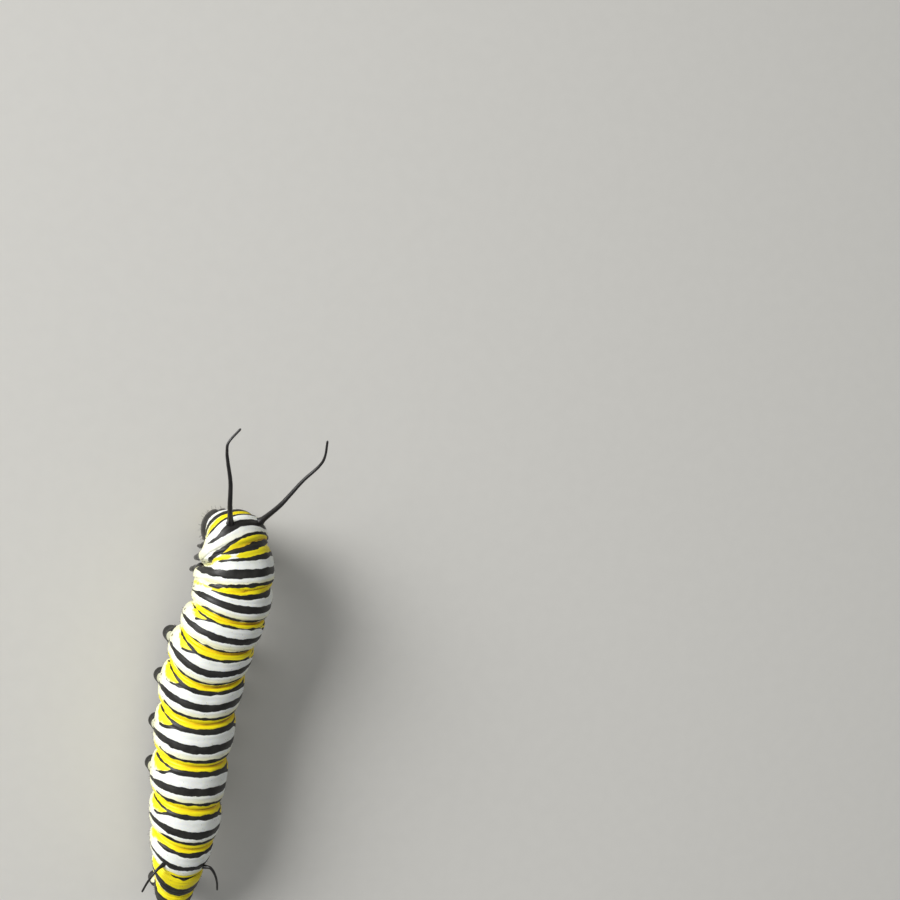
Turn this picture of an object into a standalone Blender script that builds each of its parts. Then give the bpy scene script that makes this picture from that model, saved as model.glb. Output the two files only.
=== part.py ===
"""Monarch larva, life size, on its prolegs with its thorax arched and its head bent down.

Sizes are in millimetres, and MM turns them into metres. +Y is forward, +X is the larva's own
right, and the floor is at z = 0. The body is one tube of thirteen segments behind the head.
A point on it is given by two numbers: s, which counts segments from the black band of the first
backwards, and theta, the angle round the body from the middle of the back to the right.
"""

import bmesh
import bpy
import numpy as np
from mathutils import Matrix, Vector

MM = 0.001
GAP = 0.3  # between two nodes that touch
TIGHT_FOLD = 0.35  # where a bend crowds the rings, they count as this share of the usual spacing at least

# Each row is a name, the middle of the segment's widest ring, its half width and half height,
# and the ring's pitch (nose up), yaw (nose left) and roll (back to the right) in degrees.
NECK = ("neck", (0.93, 28.7, 3.3), 1.6, 1.5, -76, 27, 20)
SEGMENTS = (
    ("thorax_1", (1.22, 28.9, 4.65), 2.3, 2.0, -62, 27, 20),
    ("thorax_2", (1.57, 28.1, 6.05), 3.1, 2.8, -34, 21, 18),
    ("thorax_3", (1.98, 25.05, 6.5), 3.6, 3.35, -5, 3, 6),
    ("abdomen_1", (1.75, 22.0, 6.65), 3.8, 3.6, -1, -8, 0),
    ("abdomen_2", (1.05, 19.45, 6.4), 3.85, 3.7, 7, -14, 0),
    ("abdomen_3", (0.42, 16.8, 5.95), 4.0, 3.8, 9, -12, 0),
    ("abdomen_4", (0.0, 12.8, 5.4), 3.95, 3.8, 4, -4, 0),
    ("abdomen_5", (-0.1, 8.4, 5.2), 3.8, 3.75, 1, -1, 0),
    ("abdomen_6", (-0.1, 4.0, 5.1), 3.6, 3.65, 1, 0, 0),
    ("abdomen_7", (0.0, 0.0, 5.0), 3.35, 3.4, 4, 1, 0),
    ("abdomen_8", (-0.02, -3.2, 4.55), 2.78, 3.0, 12, 2, 0),
    ("abdomen_9", (0.05, -5.75, 3.85), 2.2, 2.4, 18, 2, 0),
    ("abdomen_10", (0.12, -7.85, 3.05), 1.78, 1.8, 22, 2, 0),
)
TAIL = ("tail", (0.15, -9.7, 2.3), 1.4, 1.3, 24, 2, 0)
FIRST = 1  # row of the first segment in the table, after the neck
TABLE = np.array([row[1] + tuple(row[2:]) for row in (NECK, *SEGMENTS, TAIL)], float)

# How the bands and folds of each segment lie on the body, as shares of its length: how far back
# from the ring above, how far forward on both sides (bow) and how far forward on the right (slant).
LIE = np.array((
    (0, 0, 0), (0, 0, 0), (-0.03, -0.1, 0), (0.02, 0.1, -0.05), (0.015, 0.2, -0.01),
    (-0.02, 0.18, 0.1), (0.14, 0.33, 0.14), (0.035, 0.22, 0.05), (0.005, 0.16, 0.0),
    (-0.06, 0.06, -0.02), (-0.035, 0.14, -0.09), (-0.05, 0.2, -0.1), (-0.03, 0.2, -0.08),
    (0, 0.1, 0), (0, 0, 0),
), float)

# A segment runs from BEFORE in front of its widest ring to the fold behind it.
BEFORE = 0.56
SQUARENESS = 2.25  # 2 is an ellipse
BELLY_HEIGHT = 0.92  # the belly is flatter than the back
FOLD_ON_BACK, FOLD_ON_SIDE, FOLD_SHARPNESS = 0.055, 0.12, 3.5
TAIL_ROUND = 0.72  # of a segment's length, from the last middle ring to the tail's tip
SKIN_SIDES, SKIN_RINGS, TAIL_RINGS = 28, 7, 10

# The head capsule: half sizes to its right, towards its face and towards its crown.
HEAD_PLACE, HEAD_HALF = (0.92, 28.4, 2.3), (1.75, 1.5, 1.95)
HEAD_PITCH, HEAD_YAW, HEAD_ROLL = -76, 27, 20
HEAD_SIDES, HEAD_RINGS = 24, 16
GROOVE_DEPTH, GROOVE_WIDTH = 0.09, 0.3
CHEEK_SWELL, GROOVE_START = 0.06, 0.4

# Pieces of the head, in the same three directions: a middle, then half sizes.
UPPER_LIP = (0, 1.12, -1.5), (0.58, 0.26, 0.34)
LOWER_LIP = (0, 0.62, -1.95), (0.5, 0.42, 0.34)
JAW_MIDDLE, JAW_HALF = (0.36, 0.95, -1.82), (0.34, 0.34, 0.4)
ANTENNA_MIDDLE, ANTENNA_WAY = (0.98, 1.15, -1.45), (0.25, 0.75, -0.6)
ANTENNA_RADII, ANTENNA_LENGTH = (0.22, 0.12), 0.9
STEMMATA, STEMMA_RADIUS = 6, 0.13
STEMMATA_MIDDLE, STEMMATA_ARC = (0.62, -0.85), 0.42  # towards the face and the crown, on each cheek
FIRST_STEMMA, STEMMA_STEP = -52, 21  # degrees round that arc

# A proleg's rings, from the belly to the sole: height left, as a share, and half width in mm.
PROLEG_SEGMENTS = ("abdomen_3", "abdomen_4", "abdomen_5", "abdomen_6")
PROLEG_ANGLE, PROLEG_ROOT, PROLEG_SPREAD = 148, 1.15, 0.35
PROLEG_RINGS = ((0.8, 1.12), (0.55, 0.98), (0.32, 0.84), (0.18, 0.88), (0.08, 0.9), (0.0, 0.78))
ANAL_PLACE, ANAL_ANGLE, ANAL_ROOT, ANAL_SPREAD = 12.0, 146, 0.82, 0.1
ANAL_RINGS = ((0.75, 0.8), (0.5, 0.74), (0.3, 0.7), (0.12, 0.74), (0.0, 0.64))
PROLEG_SIDES = 14

# A true leg: its name, its root's s, and the tips of the left one, from the photo, and the right.
# Its rings are a share of the way to the tip and a half width.
LEG_TIPS = (
    ("leg_1", -0.05, (-0.72, 26.4, 1.3), (2.35, 26.8, 0.9)),
    ("leg_2", 1.22, (-0.88, 25.3, 1.7), (3.9, 25.3, 1.3)),
    ("leg_3", 2.1, (-1.2, 24.0, 1.6), (5.1, 23.9, 1.5)),
)
LEG_ANGLE, LEG_ROOT = 140, 0.55
LEG_RINGS = ((0.14, 0.52), (0.3, 0.46), (0.36, 0.4), (0.58, 0.34), (0.64, 0.28), (0.84, 0.2), (1.0, 0.07))
LEG_BOW, LEG_SIDES = 0.3, 10

# Feelers: their roots' s, then for each its root's angle and the route of its middle line.
FRONT_PLACE, REAR_PLACE = 1.0, 10.15
FRONT_LEFT = (-25, ((0.28, 30.2, 9.15), (0.0, 31.6, 9.8), (-0.48, 33.8, 10.5), (-1.05, 35.7, 11.0),
                    (-1.3, 36.7, 11.25), (-1.27, 37.6, 11.45), (-0.33, 38.93, 11.6)))
FRONT_RIGHT = (39, ((4.25, 30.75, 8.3), (4.75, 31.7, 8.9), (5.45, 32.9, 9.6), (6.4, 34.5, 10.35),
                    (7.5, 36.0, 11.15), (7.82, 37.0, 11.65), (7.76, 38.57, 12.1)))
REAR_LEFT = (-44, ((-2.8, -4.05, 7.2), (-3.22, -4.76, 7.0), (-3.52, -5.5, 6.7), (-3.67, -6.36, 6.3)))
FRONT_RADIUS, REAR_RADIUS = (0.36, 0.25), (0.3, 0.22)
FRONT_STEM, REAR_STEM = 0.6, 0.4  # straight out of the skin this far before it bends
FEELER_SIDES, FRONT_RINGS, REAR_RINGS = 8, 15, 8
ROOT_FLARE = 1.15  # a feeler's root on the skin, as a share of its radius
STEM_START = 0.3  # first ring, as a share of the stem
CROWDING, TAPERING = 1.15, 1.5  # over 1, the rings are closer near the root, and the taper is quicker there
TIP_REACH, TIP_WIDTH = 0.6, 0.55  # the last ring, as shares of the radius at the tip

LEANING_RINGS = 2  # a limb's first rings lean towards the skin
STEP = 0.01  # for slopes of the skin

SKIN_COLOUR, BLACK_COLOUR = (0.80, 0.78, 0.42, 1), (0.03, 0.028, 0.024, 1)


def spline(rows, place):
    """Catmull-Rom curve through the rows, at a place counted in rows from the first."""
    place = np.clip(np.asarray(place, float), 0, len(rows) - 1 - 1e-9)
    row = place.astype(int)
    t = (place - row)[..., None]
    ends = np.vstack([2 * rows[0] - rows[1], rows, 2 * rows[-1] - rows[-2]])
    a, b, c, d = ends[row], ends[row + 1], ends[row + 2], ends[row + 3]
    return b + 0.5 * t * (c - a + t * (2 * a - 5 * b + 4 * c - d + t * (3 * (b - c) + d - a)))


def axes(pitch, yaw, roll):
    """Unit vectors forward, right and up of a ring turned by these angles in degrees."""
    pitch, yaw, roll = np.radians(pitch), np.radians(yaw), np.radians(roll)
    forward = np.stack([-np.sin(yaw) * np.cos(pitch), np.cos(yaw) * np.cos(pitch), np.sin(pitch)], -1)
    level = np.stack([np.cos(yaw), np.sin(yaw), 0 * yaw], -1)
    upright = np.cross(level, forward)
    cos, sin = np.cos(roll)[..., None], np.sin(roll)[..., None]
    return forward, cos * level - sin * upright, cos * upright + sin * level


def skin_point(s, theta, grow=0.0):
    """Place on the body at s and theta: a squared ellipse in the plane of the ring there."""
    s, theta = np.broadcast_arrays(np.asarray(s, float), np.asarray(theta, float))
    sin, cos = np.sin(theta), np.cos(theta)
    lie = spline(LIE, s + FIRST)
    ring = spline(TABLE, s + FIRST + lie[..., 0] - lie[..., 1] * sin**2 - lie[..., 2] * sin)
    _, right, up = axes(ring[..., 5], ring[..., 6], ring[..., 7])
    fold = FOLD_ON_BACK + (FOLD_ON_SIDE - FOLD_ON_BACK) * sin**2
    girth = 1 - fold * np.abs(2 * ((s + BEFORE) % 1.0) - 1) ** FOLD_SHARPNESS
    late = np.clip((s - len(SEGMENTS) + 1) / TAIL_ROUND, 0, 1)
    girth = np.where(late > 0, np.sqrt(1 - late**2), girth)
    girth = girth * (np.abs(sin) ** SQUARENESS + np.abs(cos) ** SQUARENESS) ** (-1 / SQUARENESS)
    across = (ring[..., 3] * girth + grow) * sin
    upwards = (ring[..., 4] * girth * np.where(cos < 0, BELLY_HEIGHT, 1) + grow) * cos
    return ring[..., :3] + across[..., None] * right + upwards[..., None] * up


def unit(vector):
    return vector / np.linalg.norm(vector)


def material(name, colour, roughness):
    made = bpy.data.materials.new(name)
    made.use_nodes = True
    shader = made.node_tree.nodes["Principled BSDF"]
    shader.inputs["Base Color"].default_value = colour
    shader.inputs["Roughness"].default_value = roughness
    shader.inputs["Metallic"].default_value = 0.0
    return made


def add_object(name, mesh, colour, roughness):
    mesh.materials.clear()
    mesh.materials.append(material(name, colour, roughness))
    mesh.shade_smooth()
    node = bpy.data.objects.new(name, mesh)
    larva.objects.link(node)
    return node


def loft(rings, points_at_ends=False):
    """Closed mesh through rings of points in mm, with flat ends, or closed to the ends' middles."""
    shape = bmesh.new()
    loops = [[shape.verts.new(point * MM) for point in ring] for ring in rings]
    for loop, after in zip(loops, loops[1:]):
        for i, corner in enumerate(loop):
            j = (i + 1) % len(loop)
            shape.faces.new((corner, loop[j], after[j], after[i]))
    for loop, ring in ((loops[0], rings[0]), (loops[-1], rings[-1])):
        if points_at_ends:
            middle = shape.verts.new(np.mean(ring, axis=0) * MM)
            for i, corner in enumerate(loop):
                shape.faces.new((corner, loop[(i + 1) % len(loop)], middle))
        else:
            shape.faces.new(loop)
    bmesh.ops.recalc_face_normals(shape, faces=shape.faces)
    mesh = bpy.data.meshes.new("loft")
    shape.to_mesh(mesh)
    shape.free()
    return mesh


def gap_share(s, theta):
    """Half a gap as a share of the segment's length at s, for each angle round the body."""
    forward, _, _ = axes(*spline(TABLE, s + FIRST)[5:8])
    spacing = np.abs((skin_point(s + STEP, theta) - skin_point(s - STEP, theta)) @ forward) / (2 * STEP)
    return GAP / 2 / np.maximum(spacing, TIGHT_FOLD * np.median(spacing))


def segment(index, name):
    """One length of the body, cut along its folds half a gap short of its neighbours."""
    theta = np.linspace(0, 2 * np.pi, SKIN_SIDES, endpoint=False)
    front, back = index - BEFORE, index + 1 - BEFORE
    front = front + gap_share(front, theta)
    if index == len(SEGMENTS) - 1:
        rings = [front + (index - front) * share for share in np.linspace(0, 1, 4)]
        rounding = np.sin(np.linspace(0, np.pi / 2, TAIL_RINGS)[1:-1])
        rings += [index + TAIL_ROUND * share for share in rounding]
    else:
        back = back - gap_share(back, theta)
        rings = [front + (back - front) * share for share in np.linspace(0, 1, SKIN_RINGS)]
    mesh = loft([skin_point(ring, theta) for ring in rings], points_at_ends=True)
    add_object(name, mesh, SKIN_COLOUR, 0.45)


def outward(s, theta):
    """Unit vector from the middle line through the skin at s and theta."""
    return unit(skin_point(s, theta, 1.0) - skin_point(s, theta))


def limb(name, s, theta, root, route, radii, sides, flat=False):
    """A tapering tube that starts face to face with the skin, GAP off it, and follows the route.

    root is the half width of its root on the skin. Each ring is square to the route, or level
    with flat, so that the sole lies on the floor, and the first rings lean towards the skin.
    """
    to_tail = skin_point(s + STEP, theta) - skin_point(s - STEP, theta)
    to_side = skin_point(s, theta + STEP) - skin_point(s, theta - STEP)
    along, around = np.linalg.norm(to_tail) / (2 * STEP), np.linalg.norm(to_side) / (2 * STEP)
    normal = unit(np.cross(to_side, to_tail))
    handed = 1 if normal @ outward(s, theta) > 0 else -1
    turn = np.linspace(0, 2 * np.pi, sides, endpoint=False)
    rings = [
        skin_point(s + root * share / along * np.cos(turn), theta + root * share / around * np.sin(turn), GAP)
        for share in (0.5, 1.0)
    ]
    route = np.asarray(route, float)
    ways = np.gradient(route, axis=0)
    for place, (point, way, radius) in enumerate(zip(route, ways, radii)):
        lean = max(0.0, 1 - place / LEANING_RINGS)
        ahead = np.array([0, 0, -1.0]) if flat else unit(way)
        ahead = unit((1 - lean) * ahead + lean * handed * normal)
        first = unit(to_tail - ahead * (to_tail @ ahead))
        second = handed * np.cross(first, ahead)
        rings.append(point + radius * (np.cos(turn)[:, None] * first + np.sin(turn)[:, None] * second))
    add_object(name, loft(rings, points_at_ends=True), BLACK_COLOUR, 0.4)


def feeler(name, s, angle, route, radii, stem, count):
    """A slender filament: a spline through its route, thinner to its tip, which is rounded."""
    theta = np.radians(angle)
    root, way = skin_point(s, theta, GAP), outward(s, theta)
    points = np.vstack([root + STEM_START * stem * way, root + stem * way, np.array(route)])
    share = np.linspace(0, 1, count)
    line = spline(points, share**CROWDING * (len(points) - 1))
    thickness = radii[1] + (radii[0] - radii[1]) * (1 - share) ** TAPERING
    tip = line[-1] + TIP_REACH * radii[1] * unit(line[-1] - line[-2])
    line = np.vstack([line, tip])
    thickness = np.append(thickness, TIP_WIDTH * radii[1])
    limb(name, s, theta, radii[0] * ROOT_FLARE, line, thickness, FEELER_SIDES)


def proleg(name, s, side, angle, root_radius, table, spread):
    """A fleshy leg from the belly down to a flat sole on the floor."""
    theta = side * np.radians(angle)
    root = skin_point(s, theta, GAP)
    _, right, _ = axes(*spline(TABLE, s + FIRST)[5:8])
    foot = root + side * spread * unit(np.array([right[0], right[1], 0]))
    route = [np.append(root[:2] * left + foot[:2] * (1 - left), root[2] * left) for left, _ in table]
    limb(name, s, theta, root_radius, route, [radius for _, radius in table], PROLEG_SIDES, flat=True)


def true_leg(name, s, side, tip):
    """A jointed leg of the thorax, bowed outwards, that ends in a claw."""
    theta = side * np.radians(LEG_ANGLE)
    root, way = skin_point(s, theta, GAP), outward(s, theta)
    route = [
        root + share * (np.array(tip) - root) + LEG_BOW * np.sin(np.pi * share) * way for share, _ in LEG_RINGS
    ]
    limb(name, s, theta, LEG_ROOT, route, [radius for _, radius in LEG_RINGS], LEG_SIDES)


def ellipsoid(middle, half, sides, rings):
    """A closed ball in the head's own axes: to its right, towards its face and to its crown."""
    shape = bmesh.new()
    bmesh.ops.create_uvsphere(shape, u_segments=sides, v_segments=rings, radius=1)
    bmesh.ops.scale(shape, vec=half, verts=shape.verts)
    bmesh.ops.translate(shape, vec=middle, verts=shape.verts)
    return shape


def head_piece(shape, name):
    """Moves a piece from the head's own axes to its place, as a helper object."""
    forward, right, up = axes(*(np.float64(turn) for turn in (HEAD_PITCH, HEAD_YAW, HEAD_ROLL)))
    turned = Matrix((right, forward, up)).transposed().to_4x4()
    bmesh.ops.transform(
        shape, matrix=Matrix.Scale(MM, 4) @ Matrix.Translation(HEAD_PLACE) @ turned, verts=shape.verts
    )
    mesh = bpy.data.meshes.new(name)
    shape.to_mesh(mesh)
    shape.free()
    piece = bpy.data.objects.new(name, mesh)
    head_pieces.objects.link(piece)
    piece.hide_render = True
    piece.display_type = "WIRE"
    return piece


def head_capsule():
    """Two domed halves with a shallow groove between, cut flat where the neck meets them."""
    shape = ellipsoid((0, 0, 0), HEAD_HALF, HEAD_SIDES, HEAD_RINGS)
    for corner in shape.verts:
        middle = np.exp(-((corner.co.x / GROOVE_WIDTH) ** 2))
        crown = np.clip(corner.co.z / HEAD_HALF[2] + GROOVE_START, 0, 1)
        cheeks = 1 + CHEEK_SWELL * np.clip(-corner.co.z / HEAD_HALF[2], 0, 1)
        corner.co *= (1 - GROOVE_DEPTH * middle * crown) * cheeks
    piece = head_piece(shape, "capsule")
    ring = spline(TABLE, FIRST - BEFORE)
    forward, _, _ = axes(*ring[5:8])
    cut = bmesh.new()
    cut.from_mesh(piece.data)
    found = bmesh.ops.bisect_plane(
        cut, geom=cut.verts[:] + cut.edges[:] + cut.faces[:], plane_co=(ring[:3] + GAP / 2 * forward) * MM,
        plane_no=-forward, clear_outer=True, dist=1e-8,
    )
    rim = [item for item in found["geom_cut"] if isinstance(item, bmesh.types.BMEdge)]
    bmesh.ops.contextual_create(cut, geom=rim)
    bmesh.ops.recalc_face_normals(cut, faces=cut.faces)
    cut.to_mesh(piece.data)
    cut.free()
    return piece


def mouthparts():
    """Upper lip, two jaws, lower lip with its spinneret, and the short antennae."""
    head_piece(ellipsoid(*UPPER_LIP, 12, 8), "upper_lip")
    head_piece(ellipsoid(*LOWER_LIP, 12, 8), "lower_lip")
    for side in (-1, 1):
        mirror = Matrix.Diagonal((side, 1, 1))
        head_piece(ellipsoid(mirror @ Vector(JAW_MIDDLE), JAW_HALF, 10, 8), "jaw")
        turned = (mirror @ Vector(ANTENNA_WAY)).to_track_quat("Z", "Y").to_matrix().to_4x4()
        antenna = bmesh.new()
        bmesh.ops.create_cone(
            antenna, cap_ends=True, segments=8, radius1=ANTENNA_RADII[0], radius2=ANTENNA_RADII[1],
            depth=ANTENNA_LENGTH, matrix=Matrix.Translation(mirror @ Vector(ANTENNA_MIDDLE)) @ turned,
        )
        head_piece(antenna, "antenna")


def stemmata():
    """Six small domed eyes in an arc on each cheek."""
    for side in (-1, 1):
        for number in range(STEMMATA):
            turn = np.radians(FIRST_STEMMA + STEMMA_STEP * number)
            face = STEMMATA_MIDDLE[0] + STEMMATA_ARC * np.cos(turn)
            crown = STEMMATA_MIDDLE[1] + STEMMATA_ARC * np.sin(turn)
            bulge = 1 - (face / HEAD_HALF[1]) ** 2 - (crown / HEAD_HALF[2]) ** 2
            shape = bmesh.new()
            bmesh.ops.create_icosphere(shape, subdivisions=2, radius=STEMMA_RADIUS)
            place = (side * HEAD_HALF[0] * np.sqrt(bulge), face, crown)
            bmesh.ops.translate(shape, vec=place, verts=shape.verts)
            head_piece(shape, "stemma")


def head():
    """The capsule with its eyes, mouthparts and antennae fused to it."""
    capsule = head_capsule()
    head_pieces.objects.unlink(capsule)
    larva.objects.link(capsule)
    mouthparts()
    stemmata()
    union = capsule.modifiers.new("fuse", "BOOLEAN")
    union.operation = "UNION"
    union.operand_type = "COLLECTION"
    union.collection = head_pieces
    union.solver = "EXACT"
    bpy.context.view_layer.update()
    fused = bpy.data.meshes.new_from_object(capsule.evaluated_get(bpy.context.evaluated_depsgraph_get()))
    bpy.data.objects.remove(capsule)
    for piece in list(head_pieces.objects):
        bpy.data.objects.remove(piece)
    add_object("head", fused, BLACK_COLOUR, 0.3)


def body():
    for index, (name, *_) in enumerate(SEGMENTS):
        segment(index, name)


def prolegs():
    names = [name for name, *_ in SEGMENTS]
    for side, word in ((-1, "left"), (1, "right")):
        for name in PROLEG_SEGMENTS:
            number = name.split("_")[1]
            proleg(f"proleg_{number}_{word}", names.index(name), side, PROLEG_ANGLE, PROLEG_ROOT,
                   PROLEG_RINGS, PROLEG_SPREAD)
        proleg(f"anal_proleg_{word}", ANAL_PLACE, side, ANAL_ANGLE, ANAL_ROOT, ANAL_RINGS, ANAL_SPREAD)


def true_legs():
    for name, place, left_tip, right_tip in LEG_TIPS:
        true_leg(f"{name}_left", place, -1, left_tip)
        true_leg(f"{name}_right", place, 1, right_tip)


def feelers():
    feeler("front_feeler_left", FRONT_PLACE, *FRONT_LEFT, FRONT_RADIUS, FRONT_STEM, FRONT_RINGS)
    feeler("front_feeler_right", FRONT_PLACE, *FRONT_RIGHT, FRONT_RADIUS, FRONT_STEM, FRONT_RINGS)
    feeler("rear_feeler_left", REAR_PLACE, *REAR_LEFT, REAR_RADIUS, REAR_STEM, REAR_RINGS)
    angle, route = REAR_LEFT
    middle = spline(TABLE, FIRST + round(REAR_PLACE))[0]
    mirrored = [(2 * middle - x, y, z) for x, y, z in route]
    feeler("rear_feeler_right", REAR_PLACE, -angle, mirrored, REAR_RADIUS, REAR_STEM, REAR_RINGS)


def to_origin():
    """Moves every node so that the middle of the whole box's bottom is the origin."""
    corners = np.concatenate([
        np.array([corner.co for corner in node.data.vertices]) for node in larva.objects
    ])
    low, high = corners.min(axis=0), corners.max(axis=0)
    shift = Vector((-(low[0] + high[0]) / 2, -(low[1] + high[1]) / 2, -low[2]))
    print("shift in mm", [round(value / MM, 4) for value in shift])
    for node in larva.objects:
        node.location = shift


for leftover in list(bpy.data.objects):
    bpy.data.objects.remove(leftover)
larva = bpy.data.collections.new("monarch_larva")
head_pieces = bpy.data.collections.new("head_pieces")
bpy.context.scene.collection.children.link(larva)
bpy.context.scene.collection.children.link(head_pieces)
body()
head()
prolegs()
true_legs()
feelers()
to_origin()
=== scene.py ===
"""Looks of the monarch larva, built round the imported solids.

One closed skin stands for all the flesh, with its prolegs drawn out of it. The head, its mouthparts
and eyes, the feelers, the jointed legs, claws, hooks, breathing holes and bristles are pieces of
their own. Sizes are in millimetres until a mesh is made.

A point on the body is given as in the part's source: s counts segments from the black band of the
first backwards, and theta is the angle from the middle of the back to the right. Marks are placed
by how far they lie behind the fold in front of their segment, which is at s = segment - BEFORE.
"""

import bpy
import numpy as np
from mathutils import Matrix, Vector


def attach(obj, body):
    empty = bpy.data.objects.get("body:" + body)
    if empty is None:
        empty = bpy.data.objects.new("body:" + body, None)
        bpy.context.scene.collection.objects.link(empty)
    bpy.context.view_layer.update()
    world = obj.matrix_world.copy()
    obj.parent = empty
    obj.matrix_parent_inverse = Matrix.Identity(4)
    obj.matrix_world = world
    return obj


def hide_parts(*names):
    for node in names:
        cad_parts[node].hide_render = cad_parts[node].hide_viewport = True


bl_info = {
    "name": "Monarch Larva",
    "version": (1, 0, 0),
    "blender": (4, 5, 0),
    "location": "3D View > Sidebar > Larva",
    "description": "Builds a life-size monarch larva and its plain stage",
    "category": "Object",
}

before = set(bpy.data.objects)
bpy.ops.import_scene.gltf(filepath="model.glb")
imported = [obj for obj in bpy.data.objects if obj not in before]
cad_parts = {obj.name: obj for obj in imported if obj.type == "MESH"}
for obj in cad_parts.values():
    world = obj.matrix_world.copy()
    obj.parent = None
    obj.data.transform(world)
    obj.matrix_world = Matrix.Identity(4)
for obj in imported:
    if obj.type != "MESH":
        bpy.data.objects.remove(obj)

MM = 0.001
SHIFT = np.array((-2.0626, -14.911, 0.0))  # from the body table's coordinates to the part's

# The body table of the part's source: place of each widest ring, half width, half height, and the
# ring's pitch, yaw and roll in degrees.
TABLE = np.array((
    (0.93, 28.7, 3.3, 1.6, 1.5, -76, 27, 20),
    (1.22, 28.9, 4.65, 2.3, 2.0, -62, 27, 20),
    (1.57, 28.1, 6.05, 3.1, 2.8, -34, 21, 18),
    (1.98, 25.05, 6.5, 3.6, 3.35, -5, 3, 6),
    (1.75, 22.0, 6.65, 3.8, 3.6, -1, -8, 0),
    (1.05, 19.45, 6.4, 3.85, 3.7, 7, -14, 0),
    (0.42, 16.8, 5.95, 4.0, 3.8, 9, -12, 0),
    (0.0, 12.8, 5.4, 3.95, 3.8, 4, -4, 0),
    (-0.1, 8.4, 5.2, 3.8, 3.75, 1, -1, 0),
    (-0.1, 4.0, 5.1, 3.6, 3.65, 1, 0, 0),
    (0.0, 0.0, 5.0, 3.35, 3.4, 4, 1, 0),
    (-0.02, -3.2, 4.55, 2.78, 3.0, 12, 2, 0),
    (0.05, -5.75, 3.85, 2.2, 2.4, 18, 2, 0),
    (0.12, -7.85, 3.05, 1.78, 1.8, 22, 2, 0),
    (0.15, -9.7, 2.3, 1.4, 1.3, 24, 2, 0),
), float)
LIE = np.array((
    (0, 0, 0), (0, 0, 0), (-0.03, -0.1, 0), (0.02, 0.1, -0.05), (0.015, 0.2, -0.01),
    (-0.02, 0.18, 0.1), (0.14, 0.33, 0.14), (0.035, 0.22, 0.05), (0.005, 0.16, 0.0),
    (-0.06, 0.06, -0.02), (-0.035, 0.14, -0.09), (-0.05, 0.2, -0.1), (-0.03, 0.2, -0.08),
    (0, 0.1, 0), (0, 0, 0),
), float)
FIRST, LAST = 1, 12  # table row of segment 0, and number of the last segment
BEFORE, SQUARENESS, BELLY_HEIGHT = 0.56, 2.25, 0.92
FOLD_ON_BACK, FOLD_ON_SIDE, FOLD_SHARPNESS = 0.055, 0.12, 3.5
TAIL_ROUND, NECK_ROUND = 0.72, 0.24  # lengths of the rounded ends, in segments
STEP = 0.002  # for slopes, in segments or radians

# The skin's grid.
SIDES, RINGS, END_RINGS = 130, 540, 20
CROWDING = 0.35  # rings lie closer in the folds than between them by this share
FLARE_RINGS, WALL_RINGS, FLARE_END, WALL_END = 8, 16, 0.58, 0.05
FLARE_LEAVE, FLARE_MEET = 0.55, 0.5  # reach of the flare's curve from the skin and from the wall
WALL_SHARE, SOLE_SHARE = 0.92, 1.04  # walls over the solids' walls, and soles over the walls
SOLE_RINGS = ((0.98, 0.02), (0.94, 0.004), (0.85, 0.0), (0.6, 0.0), (0.3, 0.0))  # shares of width and height
WIDTH_BLEND = np.linspace(-0.1, 0.1, 9)  # the half widths are averaged over this much of the height
GAP = 0.3  # mm by which the roots of the part's limbs stand over its skin

# Each kind of proleg: s of its pairs, angle, how far the foot stands out from under the root, half width
# of the patch of skin that it grows from, half widths at shares of its height, and the radius of the
# crown of hooks on its sole.
PROLEG_KINDS = (
    ((5.0, 6.0, 7.0, 8.0), 148, 0.35, 1.28,
     ((1.0, 1.16), (0.8, 1.12), (0.55, 0.98), (0.32, 0.84), (0.18, 0.88), (0.08, 0.9), (0.0, 0.78)), 0.75),
    ((12.0,), 146, 0.1, 0.86,
     ((1.0, 0.84), (0.75, 0.8), (0.5, 0.74), (0.3, 0.7), (0.12, 0.74), (0.0, 0.64)), 0.6),
)

HEAD_PLACE, HEAD_HALF = np.array((0.92, 28.4, 2.3)), np.array((1.75, 1.5, 1.95))
HEAD_PITCH, HEAD_YAW, HEAD_ROLL = -76, 27, 20
GROOVE_DEPTH, GROOVE_WIDTH, GROOVE_START, CHEEK_SWELL = 0.09, 0.3, 0.4, 0.06
STEMMATA, STEMMA_RADIUS, STEMMATA_MIDDLE, STEMMATA_ARC = 6, 0.13, (0.62, -0.85), 0.42
FIRST_STEMMA, STEMMA_STEP = -52, 21

# Mouthparts of the right side and the middle, in the head's own directions.
UPPER_LIP = (0, 1.12, -1.5), (0.58, 0.26, 0.34)  # middle and half sizes
LOWER_LIP = (0, 0.62, -1.95), (0.5, 0.42, 0.34)
JAW = (0.36, 0.95, -1.82), (0.34, 0.34, 0.4)
NOTCH_WIDTH, NOTCH_DEPTH, TOOTH_DEPTH, TEETH = 0.13, 0.16, 0.035, 34  # teeth: radians of their wave in a mm
SPINNERET = ((0, 0.78, -2.1), (0, 0.86, -2.24), (0, 0.93, -2.36)), (0.12, 0.09, 0.04)  # path and radii
ANTENNA = (0.98, 1.15, -1.45), (0.25, 0.75, -0.6)  # root and way
ANTENNA_WIDTHS = (  # reach along the way, and radius
    (-0.42, 0.26), (-0.1, 0.22), (0.0, 0.21), (0.03, 0.15), (0.06, 0.17), (0.3, 0.15), (0.33, 0.09),
    (0.36, 0.08), (0.44, 0.07), (0.46, 0.02),
)
PALP = (0.42, 0.72, -2.1), (0.2, 0.3, -0.9)
PALP_WIDTHS = (
    (-0.1, 0.14), (0.05, 0.13), (0.09, 0.12), (0.11, 0.085), (0.18, 0.08), (0.2, 0.055), (0.26, 0.05),
    (0.28, 0.015),
)

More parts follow.
